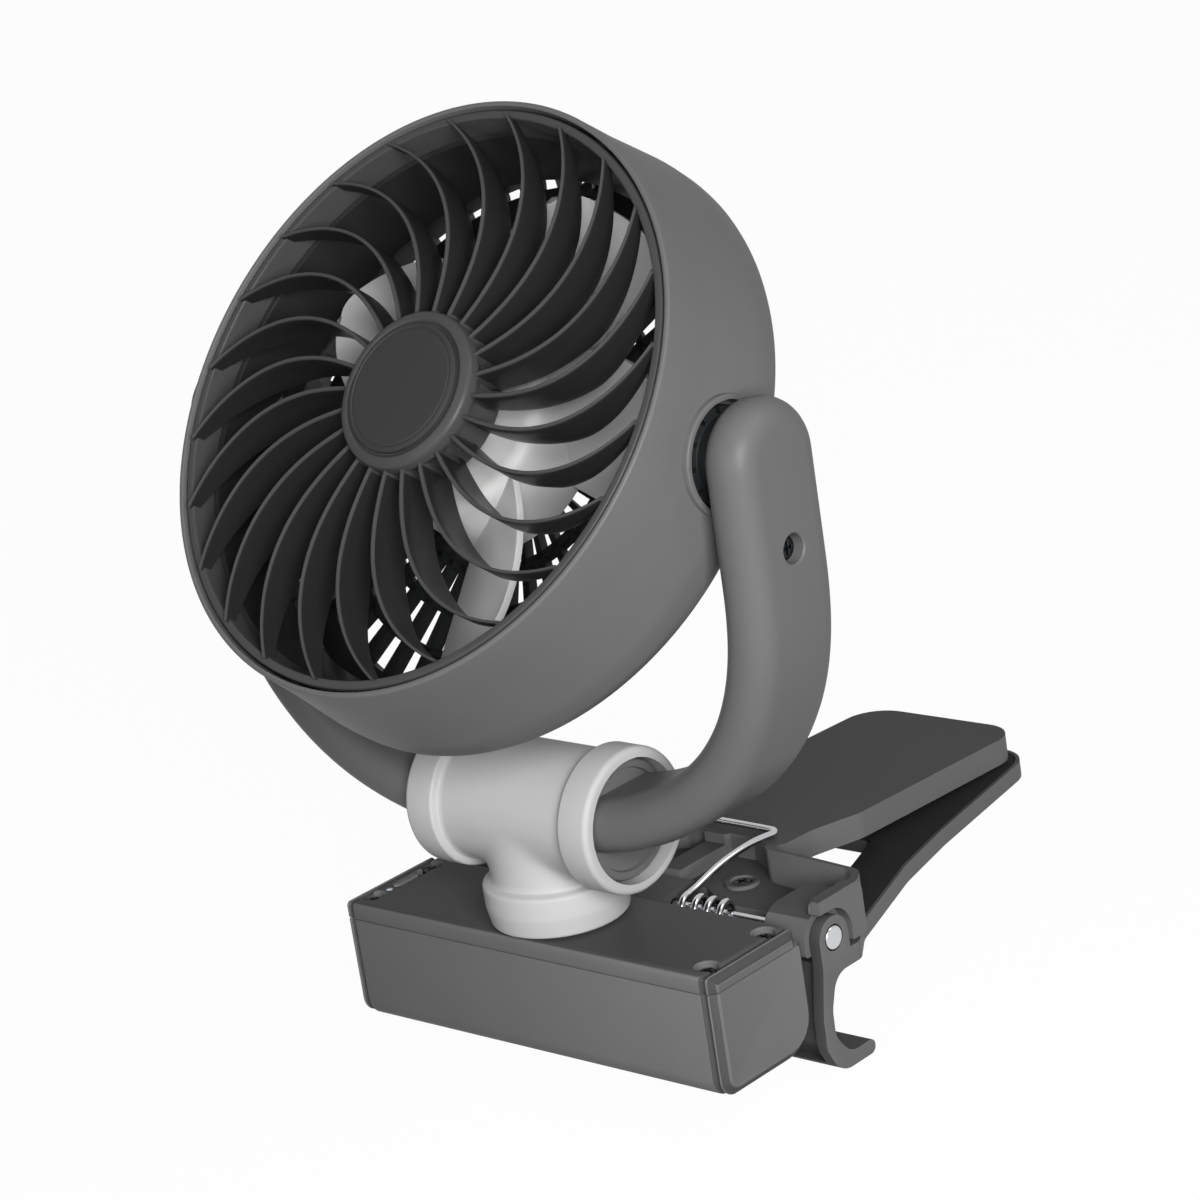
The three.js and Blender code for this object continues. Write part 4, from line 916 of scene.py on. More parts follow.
# ---------------------------------------------------------------- tee
@dataclass
class Tee:
    """The white pipe tee that turns on the box and holds the yoke's barrel."""

    axis: float = 54.2
    half: float = 26.9
    collar: float = 16.1
    body: float = 14.2
    bore: float = 13.7
    band: float = 8.4
    foot_low: float = 28.82
    foot_radius: float = 15.3
    foot_top: float = 38.3
    blend: float = 5.0
    voxel: float = 0.55
    well_radius: float = 12.8
    well_top: float = 35.2
    eye: float = 6.0

    def core(self) -> bpy.types.Object:
        """Model the two pipes with the soft hollow where they meet."""
        long = self.half - self.band + 1
        run = Bench.rod("tee_fitting_look", self.body, -long, long, FINE)
        Bench.placed(run, on_side(0, 0, self.axis))
        branch = Bench.rod("branch", self.body - 0.2, self.foot_top - 1.5, self.axis, FINE)
        Bench.cut(run, branch, how="UNION")
        Bench.modified(run, "REMESH", mode="VOXEL", voxel_size=self.voxel * MM, use_smooth_shade=True)
        group = run.vertex_groups.new(name="blend")
        for vertex in run.data.vertices:
            x, y, z = (c / MM for c in vertex.co)
            pipe = math.hypot(y, z - self.axis) - self.body
            stem = math.hypot(x, y) - self.body
            near = max(abs(pipe), abs(stem)) / self.blend
            if z < self.axis - 2 and z > self.foot_top + 0.6:
                group.add([vertex.index], max(0.0, min(1.0, 1.6 - near)), "REPLACE")
        Bench.modified(run, "SMOOTH", factor=0.9, iterations=60, vertex_group="blend")
        return run

    def sleeve(self, side: int) -> bpy.types.Object:
        """Model one end collar of the run, with its rounded lip."""
        inner = self.half - self.band
        profile = rounded(
            [
                (self.body - 3, inner - 1.2, 0), (self.body, inner - 1.2, 0),
                (self.body + 0.2, inner - 0.2, 0.6), (self.collar, inner + 0.2, 0.7),
                (self.collar, self.half, 1.3), (self.body - 3, self.half, 0),
            ],
            6,
        )
        piece = Bench.turned("sleeve", profile, FINE, closed=True)
        turn = Matrix.Rotation(side * QUARTER, 4, "Y")
        return Bench.placed(piece, Matrix.Translation((0, 0, self.axis)) @ turn)

    def foot(self) -> bpy.types.Object:
        """Model the foot collar that widens a little upwards."""
        profile = rounded(
            [
                (0, self.foot_low, 0), (self.foot_radius, self.foot_low, 1.0),
                (self.collar, self.foot_low + 4.5, 6), (self.collar, self.foot_top, 1.1),
                (self.body, self.foot_top + 0.7, 0.5), (self.body - 0.4, self.foot_top + 2.2, 0),
                (0, self.foot_top + 2.2, 0),
            ],
            6,
        )
        return Bench.turned("foot", profile, FINE)

    def build(self) -> None:
        """Build and dress the tee."""
        piece = self.core()
        Bench.cut(piece, self.foot(), self.sleeve(1), self.sleeve(-1), how="UNION")
        bore = Bench.rod("bore", self.bore, -self.half - 2, self.half + 2, FINE)
        Bench.placed(bore, on_side(0, 0, self.axis))
        well = Bench.rod("well", self.well_radius, self.foot_low - 1, self.well_top, 64)
        eye = Bench.rod("eye", self.eye, 30, self.axis, COARSE)
        Bench.cut(piece, bore, well, eye)
        deliver(piece, "tee", WHITE_PVC, ["tee_fitting"], 38)


# ---------------------------------------------------------------- yoke
@dataclass
class Yoke:
    """The U-shaped yoke: two arms plugged into a barrel in the tee."""

    axis: float = 54.2
    pivot: float = 84.0
    reach: float = 75.4
    thick: float = 12.0
    wide: float = 25.5
    bend: float = 62.9
    square: float = 2.47
    nose: float = 5.6
    barrel_half: float = 24.6
    barrel_radius: float = 13.3
    screw_up: float = 66.0
    pad_in: float = 64.5
    seat_radius: float = 3.1
    seat_deep: float = 3.4
    washer_in: float = 3.4
    washer_out: float = 10.4
    washer_neck: float = 8.6
    ribs: int = 12

    def line(self, steps: int = 64) -> list[Point2]:
        """Give the arm's middle line, [x, height over the tee's axis], from the barrel to the pivot."""
        start = self.barrel_half - 2
        first = math.acos((start / self.reach) ** (self.square / 2))
        out = []
        for k in range(steps + 1):
            t = first * (1 - k / steps)
            x = self.reach * math.cos(t) ** (2 / self.square)
            z = self.bend * (1 - max(0.0, math.sin(t)) ** (2 / self.square))
            out.append((x, z))
        straight = 10
        rise = self.pivot - self.bend
        return out + [(self.reach, self.bend + rise * k / straight) for k in range(1, straight + 1)]

    def section(self) -> list[Point2]:
        """Give the arm's cross-section, front edge first, its middle points doubled for the crown."""
        w, t, r = self.wide / 2, self.thick / 2, self.nose
        return rounded([(0, -t, 0), (w, -t, r), (w, t, r), (0, t, 0), (-w, t, r), (-w, -t, r)], 8)

    def arm(self) -> bpy.types.Object:
        """Model the right arm: swept section, crown spun round the pivot, sunk screw seat."""
        path = self.line()
        shape = self.section()
        count, steps = len(shape), len(path) - 1

        def rule(u: float, v: float) -> tuple[float, float, float]:
            """Give the place on the arm's skin."""
            y, across = shape[round(u * count) % count]
            i = round(v * steps)
            (x0, z0), (x1, z1) = path[max(0, i - 1)], path[min(steps, i + 1)]
            long = math.hypot(x1 - x0, z1 - z0)
            nx, nz = (z1 - z0) / long, (x0 - x1) / long
            if i in (0, steps):
                nx, nz = (0, -1) if i == 0 else (1, 0)
            return (path[i][0] + nx * across, y, self.axis + path[i][1] + nz * across)

        piece = Bench.skin("yoke_arm_right_look", count, steps, rule)
        Bench.take(piece)
        top = (self.axis + self.pivot) * MM
        bpy.ops.object.mode_set(mode="EDIT")
        bpy.ops.mesh.select_mode(type="EDGE")
        bpy.ops.mesh.select_all(action="DESELECT")
        bpy.ops.object.mode_set(mode="OBJECT")
        for edge in piece.data.edges:
            ends = [piece.data.vertices[v].co for v in edge.vertices]
            edge.select = all(abs(at.z - top) < 1e-6 and at.y < 1e-6 for at in ends)
        bpy.ops.object.mode_set(mode="EDIT")
        bpy.ops.mesh.spin(steps=28, angle=math.pi, center=(0, 0, top), axis=(1, 0, 0))
        bpy.ops.mesh.select_all(action="SELECT")
        Bench.cap(5e-6)
        bpy.ops.object.mode_set(mode="OBJECT")
        Bench.close(piece)
        outer = self.reach + self.thick / 2
        r, low = self.seat_radius, -self.seat_deep
        line = [(0, low), (r, low), (r, -0.3), (r + 0.4, 0.05), (r + 0.4, 2), (0, 2)]
        seat = Bench.turned("seat", line, COARSE)
        hole = Bench.rod("hole", 1.7, -8, 0, 24)
        turn = on_side(outer, 0, self.axis + self.screw_up)
        Bench.cut(piece, Bench.placed(seat, turn), Bench.placed(hole, turn))
        return piece

    def barrel(self) -> bpy.types.Object:
        """Model the barrel that turns in the tee, with its rounded rims."""
        half, radius = self.barrel_half, self.barrel_radius
        profile = rounded([(0, -half, 0), (radius, -half, 0.8), (radius, half, 0.8), (0, half, 0)], 5)
        piece = Bench.turned("yoke_barrel_look", profile, EVEN)
        line = [(0, half - 0.9), (radius - 2.2, half - 0.9), (radius - 1.6, half + 1), (0, half + 1)]
        dish, other = (Bench.turned("dish", line, EVEN) for _ in range(2))
        Bench.cut(piece, dish, Bench.placed(other, Matrix.Rotation(math.pi, 4, "X")))
        return Bench.placed(piece, on_side(0, 0, self.axis))

    def washer(self) -> bpy.types.Object:
        """Model the right friction washer: a ribbed disc between drum and arm."""
        inner = self.reach - self.thick / 2 - 0.12
        low = self.pad_in + 0.12
        core, neck, rim = self.washer_in, self.washer_neck, self.washer_out
        foot = [(core, low, 0), (rim, low, 0.3), (rim, low + 1.7, 0.4)]
        profile = rounded([*foot, (neck, low + 2.0, 0.4), (neck, inner, 0.3), (core, inner, 0)], 4)
        piece = Bench.turned("pivot_washer_right_look", profile, 72, closed=True)
        for k in range(self.ribs):
            notch = Bench.block("notch", (neck + 0.3, -0.5, low + 0.5), (rim + 0.6, 0.5, low + 3))
            Bench.cut(piece, Bench.placed(notch, Matrix.Rotation(TURN * k / self.ribs, 4, "Z")))
        turn = on_side(0, 0, self.axis + self.pivot)
        return Bench.placed(piece, turn)

    def build(self) -> None:
        """Build and dress the yoke."""
        deliver_pair(self.arm(), "yoke", CHARCOAL, "yoke_arm_right")
        deliver(self.barrel(), "yoke", CHARCOAL, ["yoke_barrel"])
        deliver_pair(self.washer(), "yoke", INNER_BLACK, "pivot_washer_right")
        outer = self.reach + self.thick / 2
        bolt = screw("arm_screw_right_look", 2.6, 1.4, 1.3, 5, 1.5)
        Bench.placed(bolt, on_side(outer - 1.9, 0, self.axis + self.screw_up))
        deliver_pair(bolt, "yoke", BLACK_ZINC, "arm_screw_right")


# ---------------------------------------------------------------- fan head
@dataclass
class Head:
    """The drum with its swirl guard, hub, rear grille and rotor, made along Z and then tilted."""

    tilt: float = 37.6
    pivot: float = 138.2
    ring: float = 23.5
    front: float = 65.7
    back: float = 68.3
    rear: float = -7.5
    round: float = 6.0
    wall: float = 2.3
    floor: float = 57.0
    guard_front: float = 22.7
    vanes: int = 24
    vane_deep: float = 10.0
    vane_tip_deep: float = 3.0
    vane_full: float = 42.0  # radius inside which a vane has its full depth
    vane_thin: float = 1.0
    sweep: float = 27.0
    bend: float = 2.0
    first_vane: float = 1.2
    ring_out: float = 63.8
    ring_in: float = 61.9
    duct_step: float = 16.0
    duct_in: float = 60.4
    duct_end: float = 57.7
    hub: float = 17.7
    hub_proud: float = 26.2
    cap: float = 14.3
    cap_proud: float = 27.4
    boss_radius: float = 12.6
    boss_out: float = 67.8
    dish_radius: float = 11.4
    dish_in: float = 64.5
    eye: float = 3.6
    rear_bars: int = 40
    rear_rings: tuple[float, ...] = (27.2, 36.6, 46.2)
    bar_in: float = 18.0
    bar_out: float = 56.0
    slot_in: float = 58.6
    slot_out: float = 65.4
    rear_low: float = -13.3
    rear_high: float = -10.4

    def edge(self, r: float) -> float:
        """Give the height of the vanes' front edge at a radius."""
        inner, outer = self.hub - 2.2, self.ring_in + 0.5
        return self.guard_front + 1.3 + 0.7 * (1 - (r - inner) / (outer - inner)) ** 2

    def tilted(self) -> Matrix:
        """Give the turn and move that put the head in its place."""
        return Matrix.Translation((0, 0, self.pivot)) @ Matrix.Rotation(math.radians(90 - self.tilt), 4, "X")

    def shell(self) -> bpy.types.Object:
        """Model the drum: thin front lip, slow flare, rounded rear and side dishes for the pivots."""
        rear = self.rear - self.round
        outline = rounded(
            [
                (self.ring_out + 0.75, self.ring - 0.3, 0.2), (self.front, self.ring, 0.7),
                (self.front + 0.9, self.ring - 12, 30), (self.back, self.rear + 4, 20),
                (self.back, rear, self.round), (self.floor, rear, 0.6), (self.floor, rear + self.wall, 0.3),
                (self.back - 7, rear + self.wall, 2), (self.back - self.wall, self.rear, 2),
                (self.front - self.wall + 0.9, self.ring - 12.5, 0),
                (self.ring_out + 0.5, self.guard_front - 4, 0),
            ],
            8,
        )
        piece = Bench.turned("head_shell_look", outline, FINEST, closed=True)
        turn = Matrix.Rotation(QUARTER, 4, "Y")
        r, out = self.boss_radius, self.boss_out
        boss = Bench.turned("boss", rounded([(0, 61, 0), (r, 61, 0), (r, out, 0.5), (0, out, 0)], 4), EVEN)
        Bench.placed(boss, turn)
        r, low = self.dish_radius, self.dish_in
        line = rounded([(0, low, 0), (r, low, 0.5), (r + 0.2, 72, 0), (0, 72, 0)], 4)
        dish = Bench.turned("dish", line, EVEN)
        Bench.placed(dish, turn)
        eye = Bench.placed(Bench.rod("eye", self.eye, 58, 70, COARSE), turn)
        Bench.cut(piece, *Bench.both(boss), how="UNION")
        Bench.cut(piece, *Bench.both(dish), *Bench.both(eye))
        Bench.softened(piece, 0.3, 2, 50)
        half = 0.5 * TURN * self.slot_out / self.rear_bars * 0.5
        slot = Bench.block("slot", (self.slot_in, -half, rear - 2), (self.slot_out, half, self.rear))
        return Bench.cut(piece, Bench.ring(slot, self.rear_bars, math.pi / self.rear_bars))

    def vane(self) -> bpy.types.Object:
        """Model one swirl vane: a thin curved blade with a rounded front edge."""
        inner, outer = self.hub - 2.2, self.ring_in + 0.5
        sweep, start = math.radians(self.sweep), math.radians(self.first_vane)
        steps, ring = 36, 12

        def rule(u: float, v: float) -> tuple[float, float, float]:
            """Give the place on the vane's skin, u round its section and v along it."""
            r = inner + (outer - inner) * v
            past = max(0.0, (r - self.vane_full) / (outer - self.vane_full))
            deep = self.vane_deep + (self.vane_tip_deep - self.vane_deep) * past**1.5
            side = u * ring
            half = self.vane_thin / 2
            if side <= 4:
                turn = math.pi * side / 4
                across, down = half * math.cos(turn), half - half * math.sin(turn)
            else:
                k = (side - 4) / (ring - 4)
                foot = 0.42 * self.vane_thin
                t = 1 - abs(2 * k - 1)
                across = (half + (foot - half) * t) * (-1 if k < 0.5 else 1)
                down = half + (deep - half) * t
            angle = start + sweep * v**self.bend + across / r
            return (r * math.cos(angle), r * math.sin(angle), self.edge(r) - down)

        return Bench.skin("vane", ring, steps, rule, caps=True)

    def guard(self) -> bpy.types.Object:
        """Model the front guard: outer ring with its duct, hub ring and all vanes."""
        ring = Bench.turned(
            "front_grille_look",
            rounded(
                [
                    (self.duct_end, 0, 0.3), (self.duct_end + 1.6, 0, 0.3),
                    (self.duct_in + 1.5, self.duct_step - 2, 0), (self.ring_out, self.duct_step - 2, 0),
                    (self.ring_out, self.guard_front + 0.2, 0.6), (self.ring_in, self.guard_front + 0.2, 0.5),
                    (self.ring_in - 0.2, self.duct_step + 0.4, 0), (self.duct_in + 0.3, self.duct_step, 0.2),
                ],
                4,
            ),
            FINEST,
            closed=True,
        )
        hub = Bench.turned(
            "hub",
            rounded(
                [
                    (11.5, 13, 0), (15.4, 13, 0.5), (self.hub - 1.2, self.guard_front - 1.4, 2),
                    (self.hub, self.guard_front + 0.8, 1.2), (self.hub - 0.3, self.hub_proud - 0.4, 1.5),
                    (self.cap + 1.1, self.hub_proud + 0.5, 0.6), (self.cap + 0.3, self.hub_proud - 0.3, 0.2),
                    (11.5, self.hub_proud - 0.6, 0),
                ],
                6,
            ),
            FINE,
            closed=True,
        )
        vanes = Bench.ring(self.vane(), self.vanes)
        return Bench.joined([ring, hub, vanes])

    def lit_faces(self, piece: bpy.types.Object) -> list[int]:
        """Find the guard's front faces, which wear the painted light: rim, hub ring and the vanes' front
        edges.
        """
        found = []
        for face in piece.data.polygons:
            x, y, z = face.center / MM
            r = math.hypot(x, y)
            on_ring = (r > self.ring_in - 0.15 or r < self.hub + 0.1) and z > self.duct_step + 1
            if on_ring or (self.hub < r < self.ring_in and z > self.edge(r) - 0.5):
                found.append(face.index)
        return found

    def cap_disc(self) -> bpy.types.Object:
        """Model the hub's cap: a flat disc inside a fine stepped rim."""
        seat = self.hub_proud - 0.35
        profile = rounded(
            [
                (0, seat - 3, 0), (11.2, seat - 3, 0), (11.2, seat, 0), (self.cap, seat, 0),
                (self.cap, self.cap_proud - 0.4, 0.35), (self.cap - 0.9, self.cap_proud, 0.3),
                (self.cap - 1.25, self.cap_proud - 0.35, 0.1), (self.cap - 1.6, self.cap_proud - 0.1, 0.1),
                (0, self.cap_proud - 0.1, 0),
            ],
            4,
        )
        return Bench.turned("hub_cap_look", profile, FINE)

    def rear_guard(self) -> bpy.types.Object:
        """Model the rear grille: rings, curved bars and the motor's mount."""
        seat = self.rear - self.round + self.wall + 0.3
        top = seat + 2.2
        low, high = self.rear_low, self.rear_high
        pieces = []
        for r in self.rear_rings:
            corners = ((r - 1, low), (r + 1, low), (r + 1, high), (r - 1, high))
            outline = rounded([(*corner, 0.4) for corner in corners], 3)
            pieces.append(Bench.turned("rear_ring", outline, FINE, closed=True))
        flange = [(54.6, low), (56.7, low), (56.7, seat), (60.4, seat), (60.4, top), (54.6, top)]
        pieces.append(Bench.turned("rear_flange", flange, FINE, closed=True))
        cup = seat + 4.4
        mount = [(3.2, low), (19, low), (19, top), (15.9, top)]
        mount += [(15.9, cup), (14.4, cup), (14.4, top), (3.2, top)]
        pieces.append(Bench.turned("rear_mount", mount, EVEN, closed=True))

        def rule(u: float, v: float) -> tuple[float, float, float]:
            """Give the place on a bar's skin."""
            r = self.bar_in + (self.bar_out - self.bar_in) * v
            corner = round(u * 4) % 4
            across = (0.5 + 0.9 * v) * (1 if corner in (0, 3) else -1)
            z = high if corner in (0, 1) else low
            angle = across / r
            return (r * math.cos(angle), r * math.sin(angle), z)

        pieces.append(Bench.ring(Bench.skin("rear_bar", 4, 6, rule, caps=True), self.rear_bars))
        piece = Bench.joined(pieces)
        piece.name = "rear_grille_look"
        return piece

    def build(self, nodes: dict[str, bpy.types.Object]) -> None:
        """Build and dress the head.

        Args:
            nodes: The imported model's nodes.
        """
        place = self.tilted()
        deliver(Bench.placed(self.shell(), place), "head", CHARCOAL, ["head_shell"])
        guard = self.guard()
        # The front faces wear the lighter copy as painted light, the rest of the guard the darker copy as
        # painted shade.
        trim = (GUARD_LIT, self.lit_faces(guard))
        deliver(Bench.placed(guard, place), "head", GUARD_SHADED, ["front_grille"], 40, trim)
        deliver(Bench.placed(self.cap_disc(), place), "head", CAP_MATT, ["hub_cap"])
        deliver(Bench.placed(self.rear_guard(), place), "head", INNER_BLACK, ["rear_grille"])
        for name in ("motor_can", "grille_screw_1", "grille_screw_2", "grille_screw_3"):
            dress_node(nodes[name], ZINC)


@dataclass
class Rotor:
    """The pale fan rotor on the motor's shaft."""

    blades: int = 5
    hub: float = 23.2
    front: float = 9.4
    back: float = -9.6
    tip: float = 54.0
    thick: float = 1.5
    lead_root: float = -27.0  # angle of the leading edge at the hub, degrees
    lead_tip: float = -60.0
    trail: float = -89.0
    lead_high: float = 8.0
    trail_low: float = -7.8

    def blade(self) -> bpy.types.Object:
        """Model one pitched, swept blade with a rounded tip."""
        inner = self.hub - 1.0

        def middle(s: float, t: float) -> Vector:
            """Give the blade's middle face, s along the radius and t from the trailing edge."""
            lead = self.lead_root + (self.lead_tip - self.lead_root) * s**0.9
            angle = math.radians(self.trail + (lead - self.trail) * t)
            r = inner + (self.tip - inner) * s * (1 - 0.1 * s**4 * (2 * t - 1) ** 4)
            high = self.lead_high - 1.5 * s
            z = self.trail_low + (high - self.trail_low) * t + 1.8 * math.sin(math.pi * t)
            return Vector((r * math.cos(angle), r * math.sin(angle), z))

        def rule(u: float, v: float) -> tuple[float, float, float]:
            """Give the place on the blade's skin."""
            return tuple(middle(v, u))

        piece = Bench.skin("blade", 24, 20, rule)
        Bench.modified(piece, "SOLIDIFY", thickness=self.thick * MM, offset=0)
        return Bench.softened(piece, 0.5, 3, 50)

    def build(self, place: Matrix, nodes: dict[str, bpy.types.Object]) -> None:
        """Build and dress the rotor.

        Args:
            place: The head's own place.
            nodes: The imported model's nodes.
        """
        cup = Bench.turned(
            "impeller_look",
            rounded(
                [
                    (1.7, self.front, 0), (1.7, 4.2, 0), (4, 4.2, 0), (4, self.front - 2, 0.5),
                    (self.hub - 3, self.front - 2, 2), (self.hub - 1.5, self.back, 0),
                    (self.hub, self.back, 0.3), (self.hub - 1.2, self.front, 3),
                ],
                5,
            ),
            EVEN,
            closed=True,
        )
        blades = Bench.ring(self.blade(), self.blades)
        piece = Bench.placed(Bench.joined([cup, blades]), place)
        deliver(piece, "rotor", PALE_ABS, ["impeller"], 45)
        dress_node(nodes["motor_shaft"], ZINC)


# ---------------------------------------------------------------- clip
@dataclass
class Clip:
    """The sprung clip behind the box: two jaws, pads, a rod, a spring and the saddle that carries them."""

    half: float = 54.0
    ear: float = 3.1
    arch: float = 6.4
    ear_front: float = 23.2
    ear_back: float = 38.0
    ear_foot: float = 17.7
    pin_y: float = 26.8
    pin_z: float = 20.8
    rod: float = 1.4
    plate_half: float = 22.8
    neck: float = 19.5
    root: float = 54.0
    tip: float = 139.5
    top: float = 26.7
    thick: float = 6.2
    fall: float = 2.1
    corner: float = 9.0
    floor_low: float = 19.5
    floor_high: float = 21.2
    rim: float = 30.2
    skirt: float = 1.7
    screw_x: float = 16.0
    screw_y: float = 41.8
    jaw_low: float = 12.6
    jaw_top: float = 16.8
    jaw_tip: float = 141.5
    web_top: float = 15.2
    jaw_ear: float = 4.9
    rod_end: float = 2.7
    boss: float = 4.0
    sink: float = 2.9
    screw_hole: float = 1.3

    def drop(self, y: float) -> float:
        """Give the height that the upper jaw has lost at a place along it."""
        return (y - self.root) * math.tan(math.radians(self.fall))

    def upper_outline(self) -> list[Point2]:
        """Give the right half of the upper jaw's outline."""
        return rounded(
            [
                (0, self.tip, 0), (self.plate_half, self.tip, self.corner),
                (self.plate_half, self.root + 23, 14), (self.neck, self.root + 9, 12),
                (self.neck, self.root - 7, 7), (36, 45, 10), (50.5, 42.6, 8),
                (self.half, self.ear_back - 1, 6), (self.half, self.ear_front, 0),
                (self.half - self.ear, self.ear_front, 0), (self.half - self.ear, self.pin_y, 0),
                (0, self.pin_y, 0),
            ],
            10,
        )

    def pocket(self) -> list[Point2]:
        """Give the hollow between the shoulder's rim and the ridge, right side."""
        w = self.skirt
        return rounded(
            [
                (3, 0, 0), (3, self.root, 0), (10, self.root, 2), (self.neck - w, self.root - 4, 5),
                (self.neck - w + 2.6, self.root - 7 - w, 5), (35, 45 - w, 8),
                (self.half - w - 0.4, 42.2 - w, 6.5), (self.half - w - 0.4, 0, 0),
            ],
            8,
        )

    def upper_jaw(self) -> bpy.types.Object:
        """Model the upper jaw with its shoulders, ears, lugs and ridge."""
        reach = self.half + 1
        low = self.top - self.thick
        ear_in = self.half - self.ear
        side = rounded(
            [
                (self.ear_front, self.floor_low, 0), (self.root - 1, self.floor_low, 0), (self.root, low, 0),
                (self.tip + 1, low - self.drop(self.tip + 1), 0),
                (self.tip + 1, self.top - self.drop(self.tip + 1), 0), (self.root, self.top, 6),
                (46, self.rim - 1.2, 8), (41, self.rim, 6), (self.ear_front, self.rim, 0),
            ],
            8,
        )
        piece = Bench.upright("upper_jaw_look", whole(self.upper_outline()), 0, self.rim + 1)
        Bench.cut(piece, Bench.along("side", side, -reach, reach), how="INTERSECT")
        Bench.cut(piece, *Bench.both(Bench.upright("pocket", self.pocket(), self.floor_high, self.rim + 2)))
        leg_slot = rounded([(3, 0, 0), (3, 37, 1), (9.4, 37, 2), (13, 35, 3), (16.8, 31, 2), (16.8, 0, 0)], 6)
        Bench.cut(piece, *Bench.both(Bench.upright("leg_slot", leg_slot, 0, self.floor_high + 1)))
        Bench.cut(piece, Bench.block("front", (-ear_in, 0, 0), (ear_in, self.pin_y + 4.6, self.rim + 2)))
        Bench.cut(piece, Bench.block("core_top", (-4, self.pin_y, 24.8), (4, self.root - 2, self.rim + 2)))
        nose = [(0, 0), (33.5, 0), (33.5, self.floor_low), (36.5, 25.8), (0, 25.8)]
        Bench.cut(piece, Bench.along("nose", nose, -4, 4))
        pad = Bench.upright("pad_room", self.pad_outline(0), 0, self.top)
        Bench.cut(pad, self.under_plate(1.3), how="INTERSECT")
        Bench.cut(piece, pad)
        ear = rounded(
            [
                (self.ear_front, self.rim, 2.4), (self.ear_back, self.rim, 2.6),
                (self.ear_back, self.ear_foot, 1), (self.ear_front, self.ear_foot, 0),
            ],
            8,
        )
        low = self.ear_foot
        lug = rounded([(20.4, low, 1), (37, low, 0), (37, 27.2, 0), (20.4, 27.2, self.arch)], 10)
        Bench.cut(piece, *Bench.both(Bench.along("ear", ear, ear_in, self.half)), how="UNION")
        Bench.cut(piece, *Bench.both(Bench.along("lug", lug, 39.5, ear_in + 1)), how="UNION")
        spot = Matrix.Translation((self.screw_x, self.screw_y, 0))
        boss = Bench.placed(Bench.rod("boss", self.boss, self.floor_low, self.floor_high + 0.9, COARSE), spot)
        Bench.cut(piece, *Bench.both(boss), how="UNION")
        arch = rounded(
            [
                (0, 0, 0), (self.pin_y + self.arch, 0, 0),
                (self.pin_y + self.arch, self.pin_z + self.arch, self.arch), (0, self.pin_z + self.arch, 0),
            ],
            14,
        )
        sink = Bench.placed(Bench.rod("sink", self.sink, self.floor_high - 0.5, self.rim, 40), spot)
        hole = Bench.placed(Bench.rod("hole", self.screw_hole, 0, self.rim, 24), spot)
        eye = Bench.rod("eye", self.rod + 0.3, 0, reach, 32)
        Bench.placed(eye, on_side(0, self.pin_y, self.pin_z))
        Bench.cut(piece, *Bench.both(Bench.along("arch", arch, ear_in, reach)), *Bench.both(sink))
        Bench.cut(piece, *Bench.both(hole), *Bench.both(eye))
        return Bench.softened(piece, 0.75, 3, 40)

    def under_plate(self, depth: float) -> bpy.types.Object:
        """Make a wedge that follows the upper jaw's underside up to a depth into it."""
        low = self.top - self.thick
        far = self.tip + 1
        outline = [(self.root, 0), (far, 0), (far, low + depth - self.drop(far)), (self.root, low + depth)]
        return Bench.along("wedge", outline, -self.half, self.half)

    def pad_outline(self, inset: float) -> list[Point2]:
        """Give the outline of the upper jaw's pad."""
        x = self.plate_half - 2 - inset
        near, far, round_far = 66 + inset, self.tip - 2 - inset, self.corner - 2
        return rounded([(-x, near, 4), (x, near, 4), (x, far, round_far), (-x, far, round_far)], 8)

    def upper_pad(self) -> bpy.types.Object:
        """Model the upper jaw's soft pad."""
        piece = Bench.upright("upper_pad_look", self.pad_outline(0.24), 0, self.top)
        Bench.cut(piece, self.under_plate(1.18), how="INTERSECT")
        Bench.cut(piece, self.under_plate(0))
        return Bench.softened(piece, 0.3, 2, 40)

    def strap(self) -> list[Point2]:
        """Give the side line of the lower jaw's strap and lip."""
        return rounded(
            [
                (21.9, self.web_top, 0), (19.9, 4.4, 6), (19.7, -3.2, 5), (23.4, -9.85, 6.5),
                (35.6, -9.85, 1.65), (35.5, -6.5, 1.65), (27.2, -6.5, 5.5), (23.1, -1.2, 5.5), (23.2, 5, 8),
                (25.9, self.jaw_low, 5), (34, self.jaw_low, 0), (34, self.web_top, 0),
            ],
            10,
        )

    def lower_outline(self, inset: float) -> list[Point2]:
        """Give the lower jaw's outline, set in from its edge."""
        return whole(
            rounded(
                [
                    (0, self.jaw_tip - inset, 0),
                    (self.plate_half + 0.6 - inset, self.jaw_tip - inset, 10 - inset), (32.4 - inset, 94, 60),
                    (37.6 - inset, 73, 40), (48.5 - inset, 43, 12), (self.half - inset, 35, 4),
                    (self.half - inset, self.pin_y + 3 + inset, 0), (0, self.pin_y + 3 + inset, 0),
                ],
                10,
            )
        )

    def window(self, grow: float) -> list[Point2]:
        """Give the opening in the middle of the lower jaw."""
        return whole(
            rounded(
                [
                    (0, 39 - grow, 0), (33 + grow, 39 - grow, 4), (25.6 + grow, 68, 20),
                    (20 + grow, 83 + grow, 5), (0, 83 + grow, 0),
                ],
                8,
            )
        )

